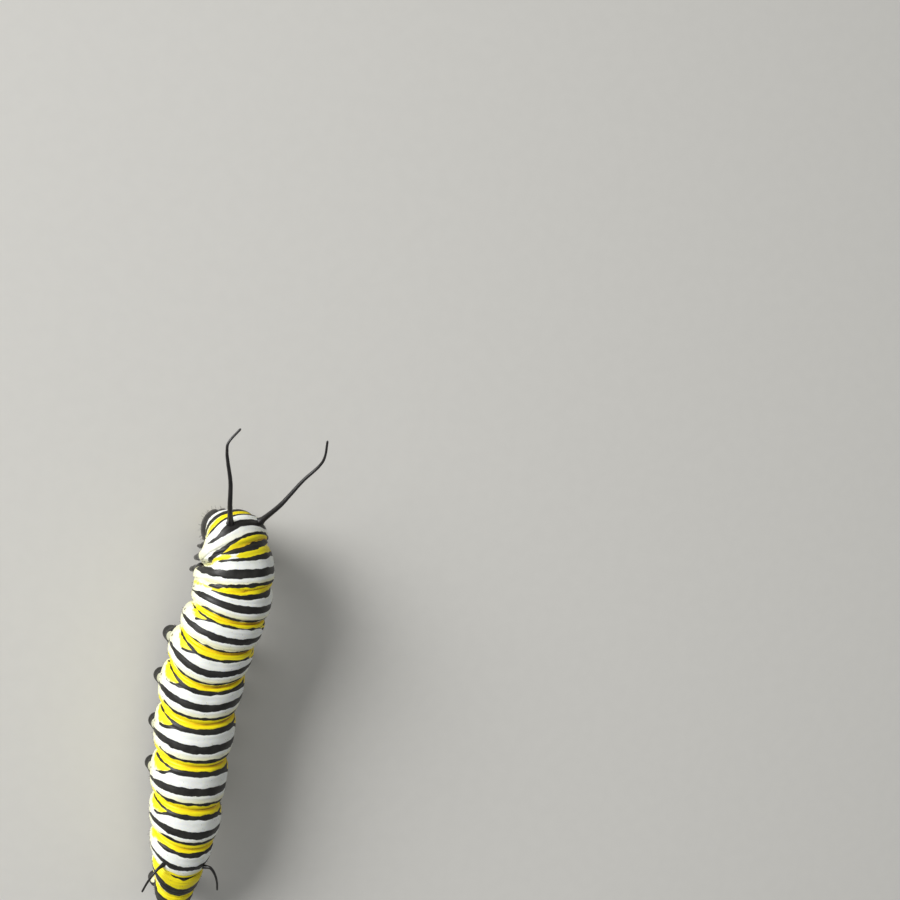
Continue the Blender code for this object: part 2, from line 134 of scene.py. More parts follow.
LEGS = (  # root's s, then the tips of the left leg and the right
    (-0.05, (-0.72, 26.4, 1.3), (2.35, 26.8, 0.9)),
    (1.22, (-0.88, 25.3, 1.7), (3.9, 25.3, 1.3)),
    (2.1, (-1.2, 24.0, 1.6), (5.1, 23.9, 1.5)),
)
LEG_SIZES = (0.85, 1.0, 1.0)  # the first pair is the smallest
LEG_ANGLE, LEG_BOW = 140, 0.3
LEG_WIDTHS = (  # shares of the length, and radii
    (-0.3, 0.2), (-0.25, 0.38), (-0.17, 0.51), (-0.07, 0.555), (0.03, 0.5), (0.14, 0.41), (0.3, 0.34),
    (0.36, 0.3), (0.58, 0.24), (0.64, 0.2), (0.84, 0.15), (0.93, 0.09), (0.97, 0.04),
)
LEG_JOINTS, JOINT_DEPTH, JOINT_RIM = (0.33, 0.61, 0.86), 0.07, 0.03
CLAW_WIDTHS = ((0.9, 0.1), (0.96, 0.075), (1.02, 0.045), (1.06, 0.012))
CLAW_RINGS, CLAW_HOOK, CLAW_MEETING = 14, 0.22, 1.2  # the claws hook in towards x = 1.2 mm

FEELERS = (  # root's s and angle, radii at root and tip, and the route of its middle line
    (0.88, -24, (0.31, 0.11),
     ((-0.12, 31.6, 9.8), (-0.48, 33.8, 10.5), (-1.05, 35.7, 11.0), (-1.3, 36.7, 11.25), (-1.27, 37.6, 11.45),
      (-0.33, 38.93, 11.6))),
    (0.93, 39, (0.31, 0.11),
     ((4.75, 31.7, 8.9), (5.45, 32.9, 9.6), (6.4, 34.5, 10.35), (7.5, 36.0, 11.15), (7.82, 37.0, 11.65),
      (7.76, 38.57, 12.1))),
    (10.15, -44, (0.18, 0.1),
     ((-2.55, -3.82, 7.08), (-3.02, -4.42, 7.12), (-3.4, -5.3, 6.82), (-3.67, -6.36, 6.3))),
    (10.15, 44, (0.18, 0.1),
     ((2.51, -3.82, 7.08), (2.98, -4.42, 7.12), (3.36, -5.3, 6.82), (3.63, -6.36, 6.3))),
)
FEELER_BURIED, FEELER_STEM = 0.6, 0.1  # mm of a feeler inside the skin, and straight out of it
FEELER_FLARE, FLARE_FROM, FLARE_REACH = 0.16 / 0.31, 0.5, 0.35  # share of the root's radius, mm along it

# How far each mark leans back on the left and forward on the right, where the thorax is turned.
LEAN = ((1.3, 0.0), (1.55, -0.05), (1.9, 0.13), (2.15, 0.12), (2.27, 0.05), (2.5, 0.045), (2.85, 0.17),
        (3.1, 0.15), (3.4, 0.02), (3.7, 0.0))

# How far the middle of the back lies round to the right, in degrees, for the marks alone.
TWIST = ((0.8, 2), (1.6, 3), (2.0, 9), (3.5, 9), (4.5, 7), (9.0, 7), (11.0, 4), (12.5, 0))

# Marks of the skin: first and last segment that has it, then knots of the angle from the back in
# degrees, and the front and back edge in segments behind the fold.
BLACK_MARKS = (
    # narrow bands of the first segment and its shield; the front band's black also covers the neck under the
    # head, painted shade there
    (0, 0, ((0, -0.8, 0.2), (55, -0.8, 0.15), (90, -0.8, 0.1), (112, -0.8, 0.06), (180, -0.8, 0.05))),
    (0, 0, ((0, 0.65, 0.86), (40, 0.65, 0.88), (75, 0.68, 0.86), (108, 0.71, 0.8))),
    # second segment: a fine line, then the thick band that carries the front feelers
    (1, 1, ((0, 0.13, 0.2), (40, 0.165, 0.25), (65, 0.25, 0.34), (80, 0.33, 0.38))),
    (1, 1, ((0, 0.47, 0.62), (20, 0.49, 0.65), (29, 0.475, 0.69), (35, 0.515, 0.695), (41, 0.57, 0.69),
            (47, 0.62, 0.685), (54, 0.65, 0.685), (62, 0.667, 0.683), (75, 0.645, 0.66), (84, 0.62, 0.63))),
    # third segment: two wedges, two fine lines and the thick band
    (2, 2, ((0, -0.175, -0.125), (30, -0.15, -0.1), (44, -0.12, -0.01), (56, -0.07, 0.09), (66, 0.0, 0.17),
            (74, 0.1, 0.2), (84, 0.2, 0.22))),
    (2, 2, ((0, 0.02, 0.12), (20, 0.02, 0.1), (38, 0.02, 0.07), (47, 0.02, 0.04))),
    (2, 2, ((0, 0.235, 0.29), (30, 0.235, 0.28), (50, 0.26, 0.285), (60, 0.28, 0.285))),
    (2, 2, ((70, 0.24, 0.26), (90, 0.17, 0.2), (110, 0.1, 0.11))),
    (2, 2, ((0, 0.46, 0.62), (50, 0.5, 0.63), (80, 0.47, 0.57), (105, 0.39, 0.5), (116, 0.42, 0.44))),
    # first abdominal segment
    (3, 3, ((0, -0.2, -0.12), (30, -0.155, -0.075), (50, -0.085, 0.0), (60, -0.02, 0.02))),
    (3, 3, ((0, 0.12, 0.22), (25, 0.13, 0.22), (40, 0.14, 0.19), (52, 0.16, 0.17))),
    (3, 3, ((0, 0.45, 0.62), (40, 0.45, 0.6), (52, 0.42, 0.6), (80, 0.51, 0.6), (100, 0.54, 0.59),
            (116, 0.56, 0.575))),
    (3, 3, ((0, 0.87, 0.92), (45, 0.86, 0.9), (60, 0.92, 0.93))),
    # second and third: the fine band forks on each side round a yellow patch
    (4, 4, ((0, 0.12, 0.16), (30, 0.135, 0.175), (45, 0.245, 0.29), (56, 0.325, 0.36))),
    (4, 4, ((30, 0.135, 0.17), (60, 0.075, 0.11), (90, 0.025, 0.045))),
    (4, 4, ((0, 0.9, 0.95), (40, 0.9, 0.94), (62, 0.93, 0.94))),
    (5, 5, ((0, 0.17, 0.22), (32, 0.18, 0.225), (45, 0.265, 0.31), (56, 0.335, 0.37))),
    (5, 5, ((32, 0.165, 0.205), (60, 0.075, 0.11), (90, 0.015, 0.035))),
    (5, 5, ((0, 0.86, 0.9), (45, 0.855, 0.9), (62, 0.83, 0.845))),
    # fourth to seventh: the same fork with a wider band
    (6, 9, ((0, 0.11, 0.2), (38, 0.115, 0.205), (44, 0.175, 0.24), (52, 0.245, 0.29), (62, 0.285, 0.33),
            (72, 0.3, 0.335))),
    (6, 9, ((36, 0.105, 0.155), (48, 0.08, 0.125), (60, 0.055, 0.09), (75, 0.03, 0.06), (100, 0.015, 0.03))),
    (4, 9, ((0, 0.5, 0.65), (40, 0.5, 0.645), (60, 0.51, 0.635), (80, 0.53, 0.61), (98, 0.55, 0.6),
            (117, 0.565, 0.592))),
    (6, 8, ((0, 0.83, 0.885), (45, 0.84, 0.89), (55, 0.82, 0.865), (68, 0.78, 0.8))),
    (9, 9, ((0, 0.78, 0.835), (40, 0.78, 0.835), (62, 0.805, 0.82))),
    # eighth, whose thick band carries the rear feelers, and the tail end
    (10, 10, ((0, 0.1, 0.2), (45, 0.1, 0.19), (64, 0.13, 0.15))),
    (10, 10, ((0, 0.53, 0.64), (30, 0.55, 0.66), (50, 0.51, 0.61), (65, 0.49, 0.56), (85, 0.51, 0.56),
              (106, 0.54, 0.56))),
    (10, 10, ((0, 0.99, 1.045), (45, 0.94, 0.985), (75, 0.87, 0.905), (92, 0.88, 0.895))),
    (11, 11, ((0, 0.5, 0.84), (40, 0.42, 0.74), (70, 0.3, 0.56), (92, 0.25, 0.4), (106, 0.28, 0.34))),
    (12, 12, ((13, 0.42, 0.6), (20, 0.28, 1.3), (50, 0.2, 1.3), (75, 0.12, 1.3), (100, 0.1, 1.3),
              (125, 0.3, 1.3), (180, 0.3, 1.3))),
)
BELLY_MARKS = (
    (1, 10, ((117, 0.42, 0.5), (124, 0.28, 0.72), (136, 0.14, 0.9), (180, 0.1, 0.93))),
    (0, 0, ((114, 0.3, 0.5), (130, 0.05, 0.92), (180, 0.0, 0.96))),
    (11, 12, ((118, 0.4, 0.5), (134, 0.1, 0.95), (180, 0.05, 1.1))),
)
YELLOW_MARKS = (
    (1, 1, ((0, -0.12, 0.15), (40, -0.1, 0.19), (60, -0.1, 0.28), (78, -0.08, 0.35), (96, 0.0, 0.25))),
    (2, 2, ((0, -0.14, 0.05), (20, -0.12, 0.05), (35, -0.06, 0.05), (47, 0.01, 0.05))),
    (2, 2, ((0, 0.1, 0.245), (20, 0.1, 0.24), (40, 0.08, 0.25), (60, 0.11, 0.27), (75, 0.2, 0.32),
            (86, 0.23, 0.32), (98, 0.25, 0.3))),
    (3, 3, ((0, -0.14, 0.13), (20, -0.11, 0.14), (35, -0.06, 0.16), (49, 0.05, 0.16))),
    (3, 3, ((45, 0.0, 0.06), (60, 0.0, 0.14), (75, -0.01, 0.21), (97, 0.06, 0.3), (110, 0.18, 0.26))),
    (4, 4, ((0, -0.08, 0.13), (30, -0.08, 0.15), (40, -0.08, 0.23), (54, -0.09, 0.34), (62, -0.06, 0.3),
            (76, -0.02, 0.14), (98, 0.0, 0.06))),
    (5, 5, ((0, -0.05, 0.18), (30, -0.05, 0.19), (42, -0.05, 0.28), (56, -0.06, 0.36), (64, -0.05, 0.3),
            (80, -0.04, 0.12), (100, -0.02, 0.04))),
    (6, 6, ((0, -0.1, 0.13), (40, -0.1, 0.13), (46, -0.1, 0.22), (62, -0.13, 0.3),
            (74, -0.18, 0.31), (92, -0.2, 0.12), (110, -0.1, 0.0))),
    (7, 9, ((0, -0.13, 0.13), (40, -0.12, 0.13), (46, -0.12, 0.22), (62, -0.17, 0.3), (74, -0.24, 0.31),
            (92, -0.22, 0.12), (110, -0.1, 0.0))),
    (10, 10, ((0, -0.18, 0.12), (45, -0.18, 0.12), (62, -0.17, 0.15), (80, -0.14, 0.22), (104, -0.05, 0.1))),
    (11, 11, ((0, -0.14, 0.52), (50, -0.16, 0.45), (80, -0.2, 0.32), (104, -0.1, 0.1))),
    (12, 12, ((0, -0.2, 1.3), (40, -0.2, 1.3), (46, -0.26, 0.4), (60, -0.34, 0.3), (85, -0.48, 0.2),
              (108, -0.5, 0.0))),
)
SPOT_TURN, SPOT_HEIGHT, SPOT_HALF = 0.62, 0.62, 0.17  # pale spot of each proleg: radians, shares of height
PROLEG_STAIN = 2.0  # mm round each proleg's root that is black
RIM_BLACK = 0.2  # least mm inside the black at the rim of a proleg's patch
CREAM_FROM, CREAM_TO, CREAM_LOW_SIDE = 0.68, 0.92, (65, 100)
STRAIGHT = 3.6  # mm: radius and length of a segment on the straightened body that the textures lie on
BLACK_RAG, YELLOW_RAG, BELLY_RAG, STAIN_RAG = 0.07, 0.03, 0.3, 0.12  # mm by which the edges wander
BELLY_SIDE, UNDER_SIDE = (108, 125), (118, 142)  # degrees over which the belly's edge and its grey set in
YELLOW_LESS, YELLOW_LESS_SIDE = 0.14, (42, 75)  # mm that the yellow bands shrink by low on the sides
YELLOW_SOFT, YELLOW_SOFT_SIDE = 0.78, (36, 62)  # share of their edges' sharpness that they lose there
BLACK_SPREAD, FULL_SPREAD = 0.09, 0.12  # mm, and the width in segments of a mark that gets all of it
HIGHLIGHT_ANGLE, HIGHLIGHT_PLACE, HIGHLIGHT_HALF = 24, 2.165, (11, 0.1)  # painted highlight: a pale patch in a yellow band on the left, where the lamp glares

# Soft noises over the body: cells in a segment's length and round the body, weight and seed.
WRINKLES = ((17, 30, 1.0, 3), (34, 46, 0.6, 4))
LUMPS = ((3, 14, 0.03, 5),)  # mm
WAVES = ((5, 34, 1.0, 7), (11, 66, 0.5, 8))
BLOTCHES = ((3.5, 26, 1.0, 9), (9, 60, 0.6, 10))

# Creases of the skin: place behind each fold, depth and half width in segments.
CREASES = ((0.0, 0.17, 0.04), (0.105, 0.055, 0.02), (0.205, 0.045, 0.02), (0.35, 0.02, 0.03),
           (0.5, 0.04, 0.018), (0.655, 0.05, 0.02), (0.765, 0.025, 0.022), (0.865, 0.065, 0.02))
RIDGE_ANGLE, RIDGE_WIDTH, RIDGE_HEIGHT = 120, 8, 0.12  # the fold along each side below the breathing holes
SWELLS = (  # the bent thorax's left flank: s and angle, their half widths, and the height in mm
    (1.4, -98, 0.22, 30, 0.6), (1.79, -92, 0.13, 36, -1.1), (2.36, -100, 0.28, 30, 0.55),
)
SUNK = 0.03  # mm by which the whole skin lies under the solids'
HOLE_PLACE, HOLE_ANGLE, HOLE_DEPTH, HOLE_HALF = 0.4, 99, 0.07, (0.05, 4.5)
HOLE_PROFILE = (  # radius and height of a breathing hole's rim, from its buried foot to its middle
    (0.02, -0.5), (0.95, -0.5), (1.0, 0.1), (0.95, 0.4), (0.82, 0.5), (0.7, 0.42), (0.62, 0.3), (0.3, 0.26),
    (0.04, 0.2),
)
HOLE_SIZE = (0.13, 0.22, 0.1)  # mm along the body, round it and outwards
HOLE_SEGMENTS = (0, 3, 4, 5, 6, 7, 8, 9, 10)

FLESH = [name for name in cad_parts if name.startswith(("thorax", "abdomen", "proleg", "anal"))]


# Shapes

def spline(rows, place):
    """Catmull-Rom curve through the rows: in each span a cubic that leaves every row along the line
    between its two neighbours."""
    rows = np.asarray(rows, float)
    place = np.clip(np.asarray(place, float), 0, len(rows) - 1 - 1e-9)
    row = place.astype(int)
    t = (place - row)[..., None]
    ends = np.vstack([2 * rows[0] - rows[1], rows, 2 * rows[-1] - rows[-2]])
    a, b, c, d = ends[row], ends[row + 1], ends[row + 2], ends[row + 3]
    return b + 0.5 * t * (c - a + t * (2 * a - 5 * b + 4 * c - d + t * (3 * (b - c) + d - a)))


def unit(vectors):
    """Each vector over its own length."""
    return vectors / (np.linalg.norm(vectors, axis=-1, keepdims=True) + 1e-12)


def axes(pitch, yaw, roll):
    """Unit vectors forward, right and up of a ring turned by these angles in degrees."""
    pitch, yaw, roll = np.radians(pitch), np.radians(yaw), np.radians(roll)
    forward = np.stack([-np.sin(yaw) * np.cos(pitch), np.cos(yaw) * np.cos(pitch), np.sin(pitch)], -1)
    level = np.stack([np.cos(yaw), np.sin(yaw), 0 * yaw], -1)
    upright = np.cross(level, forward)
    cos, sin = np.cos(roll)[..., None], np.sin(roll)[..., None]
    return forward, cos * level - sin * upright, cos * upright + sin * level


def smooth(value, low, high):
    """0 below low, 1 above high, and an even S between them: 3 t squared less 2 t cubed."""
    t = np.clip((value - low) / (high - low), 0, 1)
    return t * t * (3 - 2 * t)


def body_point(s, theta):
    """Place on the part's solids at s and theta: the ring there is a squared ellipse, narrower
    towards the folds, and both ends are rounded off as a quarter of a circle."""
    s, theta = np.broadcast_arrays(np.asarray(s, float), np.asarray(theta, float))
    sin, cos = np.sin(theta), np.cos(theta)
    lie = spline(LIE, s + FIRST)
    ring = spline(TABLE, s + FIRST + lie[..., 0] - lie[..., 1] * sin**2 - lie[..., 2] * sin)
    _, right, up = axes(ring[..., 5], ring[..., 6], ring[..., 7])
    fold = FOLD_ON_BACK + (FOLD_ON_SIDE - FOLD_ON_BACK) * sin**2
    girth = 1 - fold * np.abs(2 * ((s + BEFORE) % 1.0) - 1) ** FOLD_SHARPNESS
    tail = np.clip((s - LAST) / TAIL_ROUND, 0, 1)
    neck = np.clip((-BEFORE - s) / NECK_ROUND, 0, 1)
    girth = np.where(tail > 0, 1, girth) * np.sqrt(1 - tail**2) * np.sqrt(1 - neck**2)
    girth = girth * (np.abs(sin) ** SQUARENESS + np.abs(cos) ** SQUARENESS) ** (-1 / SQUARENESS)
    across = ring[..., 3] * girth * sin
    upwards = ring[..., 4] * girth * np.where(cos < 0, BELLY_HEIGHT, 1) * cos
    return ring[..., :3] + across[..., None] * right + upwards[..., None] * up


def soft_noise(x, y, around, seed):
    """Smooth random heights between -1 and 1: one draw at each whole-number corner, eased between
    them by the S curve. It repeats after `around` cells of y."""
    draws = np.random.default_rng(seed).uniform(-1, 1, (512, around))
    row, column = np.floor(x).astype(int), np.floor(y).astype(int)
    down, across = smooth(x - row, 0, 1), smooth(y - column, 0, 1)
    value = 0.0
    for i, weight_down in ((0, 1 - down), (1, down)):
        for j, weight_across in ((0, 1 - across), (1, across)):
            value = value + draws[(row + i) % 512, (column + j) % around] * weight_down * weight_across
    return value


def layers(s, theta, rows):
    """Sum of soft noises over the body, one for each row."""
    around = theta / (2 * np.pi)
    return sum(
        weight * soft_noise(s * along, around * cells, cells, seed) for along, cells, weight, seed in rows)


def between_knots(knots, place):
    """Value at each place, in straight lines between the knots."""
    return np.interp(place, *np.array(knots, float).T)


def mark_place(s, theta):
    """Where a point lies for the marks: segments behind the first fold, leaned by the sine of theta,
    and degrees from the middle of the back, which is twice the twist wide."""
    place = s + BEFORE
    angle = np.degrees((theta + np.pi) % (2 * np.pi) - np.pi)
    twist = between_knots(TWIST, place) * (1 - smooth(np.abs(angle), 60, 115))
    return place + between_knots(LEAN, place) * np.sin(theta), np.maximum(np.abs(angle - twist) - twist, 0)


def relief(s, theta):
    """Height of the skin over the solids, in mm: bell-shaped creases across each segment, a ridge
    along each side, a dent at each breathing hole, bell-shaped swells of the left flank, and fine
    cross wrinkles from soft noise that is stretched round the body."""
    settings = bpy.context.scene.larva_skin
    place, angle = mark_place(s, theta)
    within = place % 1.0
    height = np.zeros(np.shape(place))
    for at, depth, width in CREASES:
        away = np.abs(within - at)
        height -= depth * np.exp(-(np.minimum(away, 1 - away) / width) ** 2)
    side = np.exp(-((angle - RIDGE_ANGLE) / RIDGE_WIDTH) ** 2)
    height = height * settings.crease_depth * (1 - 0.5 * side)
    height = height + RIDGE_HEIGHT * side * (0.55 + 0.45 * np.cos(2 * np.pi * (within - 0.5)))
    height = height + settings.wrinkle_depth / MM * layers(s, theta, WRINKLES) + layers(s, theta, LUMPS)
    hole = ((within - HOLE_PLACE) / HOLE_HALF[0]) ** 2 + ((angle - HOLE_ANGLE) / HOLE_HALF[1]) ** 2
    height = height - HOLE_DEPTH * np.exp(-hole) * np.isin(np.floor(place), HOLE_SEGMENTS)
    for along, turn, length, girth, swell in SWELLS:
        away = ((s - along) / length) ** 2 + ((np.degrees(theta) - turn) / girth) ** 2
        height = height + swell * np.exp(-away)
    tail = 1 - np.clip((s - LAST) / TAIL_ROUND, 0, 1) ** 2
    neck = 1 - np.clip((-BEFORE - s) / NECK_ROUND, 0, 1)
    return (height - SUNK) * tail * neck


def outward(s, theta):
    """Unit normal of the solids' skin: the slope along the body crossed with the slope round it."""
    along = body_point(s + STEP, theta) - body_point(s - STEP, theta)
    around = body_point(s, theta + STEP) - body_point(s, theta - STEP)
    return unit(np.cross(along, around))


def skin_point(s, theta, over=0.0):
    """Place on the finished skin, or over it by some mm: the solids' point moved out by the relief."""
    return body_point(s, theta) + (relief(s, theta) + over)[..., None] * outward(s, theta)


def solid_point(s, theta, over):
    """Place over the part's own skin, as its source counts it: across and upwards grow by `over`."""
    ring = spline(TABLE, s + FIRST)
    _, right, up = axes(ring[..., 5], ring[..., 6], ring[..., 7])
    return body_point(s, theta) + over * (np.sin(theta) * right + np.cos(theta) * up)


def prolegs():
    """For each proleg, left before right: s, angle, root, foot, the level way outwards, half width of
    its patch, its half widths, and the radius of its crown of hooks."""
    for places, degrees, step, patch, widths, crown in PROLEG_KINDS:
        for place in places:
            _, right, _ = axes(*spline(TABLE, place + FIRST)[5:8])
            for side in (-1, 1):
                angle = side * np.radians(degrees)
                root = solid_point(np.float64(place), angle, GAP)
                level = side * unit(np.array([right[0], right[1], 0]))
                yield place, angle, root, root + step * level, level, patch, widths, crown


def closed(rings):
    """Points and faces of a grid of rings, closed to a point at both ends. Rings run so that their
    points turn anticlockwise as seen from the first end."""
    rows, columns = rings.shape[:2]
    points = np.concatenate([rings.reshape(-1, 3), rings[:1].mean(axis=1), rings[-1:].mean(axis=1)])
    index = np.arange(rows * columns).reshape(rows, columns)
    after = np.roll(index, -1, axis=1)
    quads = np.stack([index[:-1], after[:-1], after[1:], index[1:]], -1).reshape(-1, 4)
    start = np.stack([after[0], index[0], np.full(columns, rows * columns)], -1)
    end = np.stack([index[-1], after[-1], np.full(columns, rows * columns + 1)], -1)
    return points, quads, np.concatenate([start, end])


def tube(path, radii, columns, flat=1.0):
    """A closed tube: circles of these radii square to the path, each turned alike by a fixed
    direction. flat squeezes them across that direction."""
    path = np.asarray(path, float)
    ahead = unit(np.gradient(path, axis=0))
    fixed = np.eye(3)[np.argmin(np.abs(ahead).max(axis=0))]
    side = unit(np.cross(ahead, fixed))
    top = np.cross(ahead, side)
    turn = np.linspace(0, 2 * np.pi, columns, endpoint=False)[:, None]
    ring = np.cos(turn) * side[:, None] + flat * np.sin(turn) * top[:, None]
    return closed(path[:, None] + np.asarray(radii)[:, None, None] * ring)


def lathe(radii, heights, columns):
    """A profile of radii and heights turned about the upright axis, closed at both ends."""
    turn = np.linspace(0, 2 * np.pi, columns, endpoint=False)
    radii, heights = np.asarray(radii)[:, None], np.asarray(heights)[:, None]
    return closed(np.stack([radii * np.cos(turn), radii * np.sin(turn), heights + 0 * turn], -1))


def on_ball(down, turn):
    """Points of a ball of radius 1: `down` is the angle from its forward pole, and `turn` the way round."""
    return np.stack([np.sin(down) * np.cos(turn), np.cos(down) + 0 * turn, -np.sin(down) * np.sin(turn)], -1)


def ball(middle, half, rows, columns, shape=None):
    """A closed ball of half sizes `half`: rings from pole to pole, which `shape` may bend."""
    down = np.linspace(0, np.pi, rows + 2)[1:-1, None]
    rings = on_ball(down, np.linspace(0, 2 * np.pi, columns, endpoint=False)) * half
    if shape:
        rings = shape(rings)
    return closed(rings + middle)


def scatter(template, places, frames):
    """Copies of one small shape: each is turned and sized by its frame, and put at its place."""
    points, quads, triangles = template
    copies = np.einsum("nj,kij->kni", points, frames) + places[:, None]
    offsets = (np.arange(len(places)) * len(points))[:, None, None]
    return copies.reshape(-1, 3), (quads + offsets).reshape(-1, 4), (triangles + offsets).reshape(-1, 3)


def in_head(points):
    """From the head's own directions, which are right, towards the face and towards the crown, to the
    body table's."""
    turned = axes(*(np.float64(turn) for turn in (HEAD_PITCH, HEAD_YAW, HEAD_ROLL)))
    return HEAD_PLACE + points @ np.array((turned[1], turned[0], turned[2]))


def facing_out(points, quads, triangles):
    """The faces, turned over if they face inwards. The volume within them, a sum of triple products of
    the corners of their triangles, comes out negative then."""
    corners = points[np.concatenate([quads[:, :3], quads[:, (0, 2, 3)], triangles])]
    first, second, third = corners.swapaxes(0, 1)
    turn = 1 if (first * np.cross(second, third)).sum() > 0 else -1
    return quads[:, ::turn], triangles[:, ::turn]


def add_piece(name, parts, finish, nodes=(), fields=None):
    """Makes one smooth mesh object of all the parts, with its fields as point attributes, and gives
    it its finish and its body, and hides the imported parts that it stands for."""
    points, quads, triangles, count = [], [], [], 0
    for part_points, part_quads, part_triangles in parts:
        part_quads, part_triangles = facing_out(part_points, part_quads, part_triangles)
        points.append(part_points)
        quads.append(part_quads + count)
        triangles.append(part_triangles + count)
        count += len(part_points)
    quads, triangles = np.concatenate(quads), np.concatenate(triangles)
    mesh = bpy.data.meshes.new(name)
    mesh.vertices.add(count)
    mesh.vertices.foreach_set("co", ((np.concatenate(points) + SHIFT) * MM).astype(np.float32).ravel())
    corners = np.concatenate([quads.ravel(), triangles.ravel()]).astype(np.int32)
    mesh.loops.add(len(corners))
    mesh.loops.foreach_set("vertex_index", corners)
    starts = np.concatenate([4 * np.arange(len(quads)), 4 * len(quads) + 3 * np.arange(len(triangles))])
    mesh.polygons.add(len(starts))
    mesh.polygons.foreach_set("loop_start", starts.astype(np.int32))
    mesh.update(calc_edges=True)
    if mesh.validate():
        raise RuntimeError(f"{name} had faces that Blender had to mend")
    for field, values in (fields or {}).items():
        kind, key = ("FLOAT_VECTOR", "vector") if values.ndim == 2 else ("FLOAT", "value")
        mesh.attributes.new(field, kind, "POINT").data.foreach_set(key, values.astype(np.float32).ravel())
    mesh.shade_smooth()
    mesh.materials.append(finish)
    piece = bpy.data.objects.new(name, mesh)
    bpy.context.scene.collection.objects.link(piece)
    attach(piece, "root")
    if nodes:
        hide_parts(*nodes)


# Finishes

def linear(hex_colour):
    """sRGB hex to linear red, green, blue and a whole alpha."""
    parts = np.array([int(hex_colour[i:i + 2], 16) for i in (1, 3, 5)]) / 255
    return (*np.where(parts <= 0.04045, parts / 12.92, ((parts + 0.055) / 1.055) ** 2.4).tolist(), 1.0)


def per_mm(size):
    """Scale of a texture whose cells are to be `size` mm wide, on coordinates in metres."""
    return 1 / (size * MM)


def colour_property(name, description, hex_colour):
    """A colour that the user may change."""
    return bpy.props.FloatVectorProperty(
        name=name, description=description, subtype="COLOR", size=4, min=0, max=1, default=linear(hex_colour))


def length_property(name, description, default, least=0.0):
    """A length in metres that the user may change."""
    return bpy.props.FloatProperty(
        name=name, description=description, unit="LENGTH", default=default, min=least)


# The nodes of the finishes: Blender's type, its settings, its inputs in the order in which add_node is
# given them, and its output.
NODES = {
    "place": ("ShaderNodeTexCoord", {}, (), "Object"),
    "number": ("ShaderNodeAttribute", {}, (), "Fac"),
    "vector": ("ShaderNodeAttribute", {}, (), "Vector"),
    "stretch": ("ShaderNodeMapping", {}, ("Vector", "Scale"), "Vector"),
    "noise": ("ShaderNodeTexNoise", {}, ("Vector", "Scale", "Detail"), "Fac"),
    "cells": ("ShaderNodeTexVoronoi", {}, ("Vector", "Scale"), "Distance"),
    "mix": ("ShaderNodeMix", {"data_type": "RGBA"}, ("Factor_Float", "A_Color", "B_Color"), "Result"),
    "ease": ("ShaderNodeMapRange", {"interpolation_type": "SMOOTHSTEP"}, ("Value", "From Min", "From Max"),
             "Result"),
    "range": ("ShaderNodeMapRange", {}, ("Value", "From Min", "From Max", "To Min", "To Max"), "Result"),
    "add": ("ShaderNodeMath", {"operation": "ADD"}, ("Value", "Value_001"), "Value"),
    "less": ("ShaderNodeMath", {"operation": "SUBTRACT"}, ("Value", "Value_001"), "Value"),
    "times": ("ShaderNodeMath", {"operation": "MULTIPLY"}, ("Value", "Value_001"), "Value"),
    "times_add": ("ShaderNodeMath", {"operation": "MULTIPLY_ADD"}, ("Value", "Value_001", "Value_002"),
                  "Value"),
    "bump": ("ShaderNodeBump", {}, ("Height", "Strength", "Distance"), "Normal"),
}
NOISE_LOW, NOISE_HIGH = 0.3, 0.7  # nearly all values of a noise lie between these


def add_node(tree, kind, *inputs, **settings):
    """Adds one node of a kind in NODES with its settings, gives each of its inputs in turn a value or a
    link, and returns its output."""
    blender_type, fixed, names, output = NODES[kind]
    made = tree.nodes.new(blender_type)
    for key, value in (fixed | settings).items():
        setattr(made, key, value)
    for name, value in zip(names, inputs):
        socket = next(one for one in made.inputs if name in (one.identifier, one.name) and one.enabled)
        if isinstance(value, bpy.types.NodeSocket):
            tree.links.new(value, socket)
        else:
            socket.default_value = value
    return made.outputs[output]


def new_finish(name, **sockets):
    """An empty material with one Principled shader, whose sockets are set as given."""
    finish = bpy.data.materials.new(name)
    finish.use_nodes = True
    shader = finish.node_tree.nodes["Principled BSDF"]
    for key, value in sockets.items():
        shader.inputs[key.replace("_", " ")].default_value = value
    return finish, finish.node_tree, shader


def connect(tree, shader, **sockets):
    """Links a pattern to each of these sockets of the shader."""
    for key, value in sockets.items():
        tree.links.new(value, shader.inputs[key.replace("_", " ")])


SKIN_RAG, SKIN_CLOUD, SKIN_WRINKLE, SKIN_GRAIN = 0.4, 0.9, 0.16, 0.09  # mm across a cell
SKIN_TINTS = {  # second colours of the clouds, of the painted shadow line in the creases of the folds, and of the belly
    "cream": "#f4ec86", "pale": "#d9dfce", "black": "#33322e", "crease": "#8f6a10", "belly": "#77785c",
}


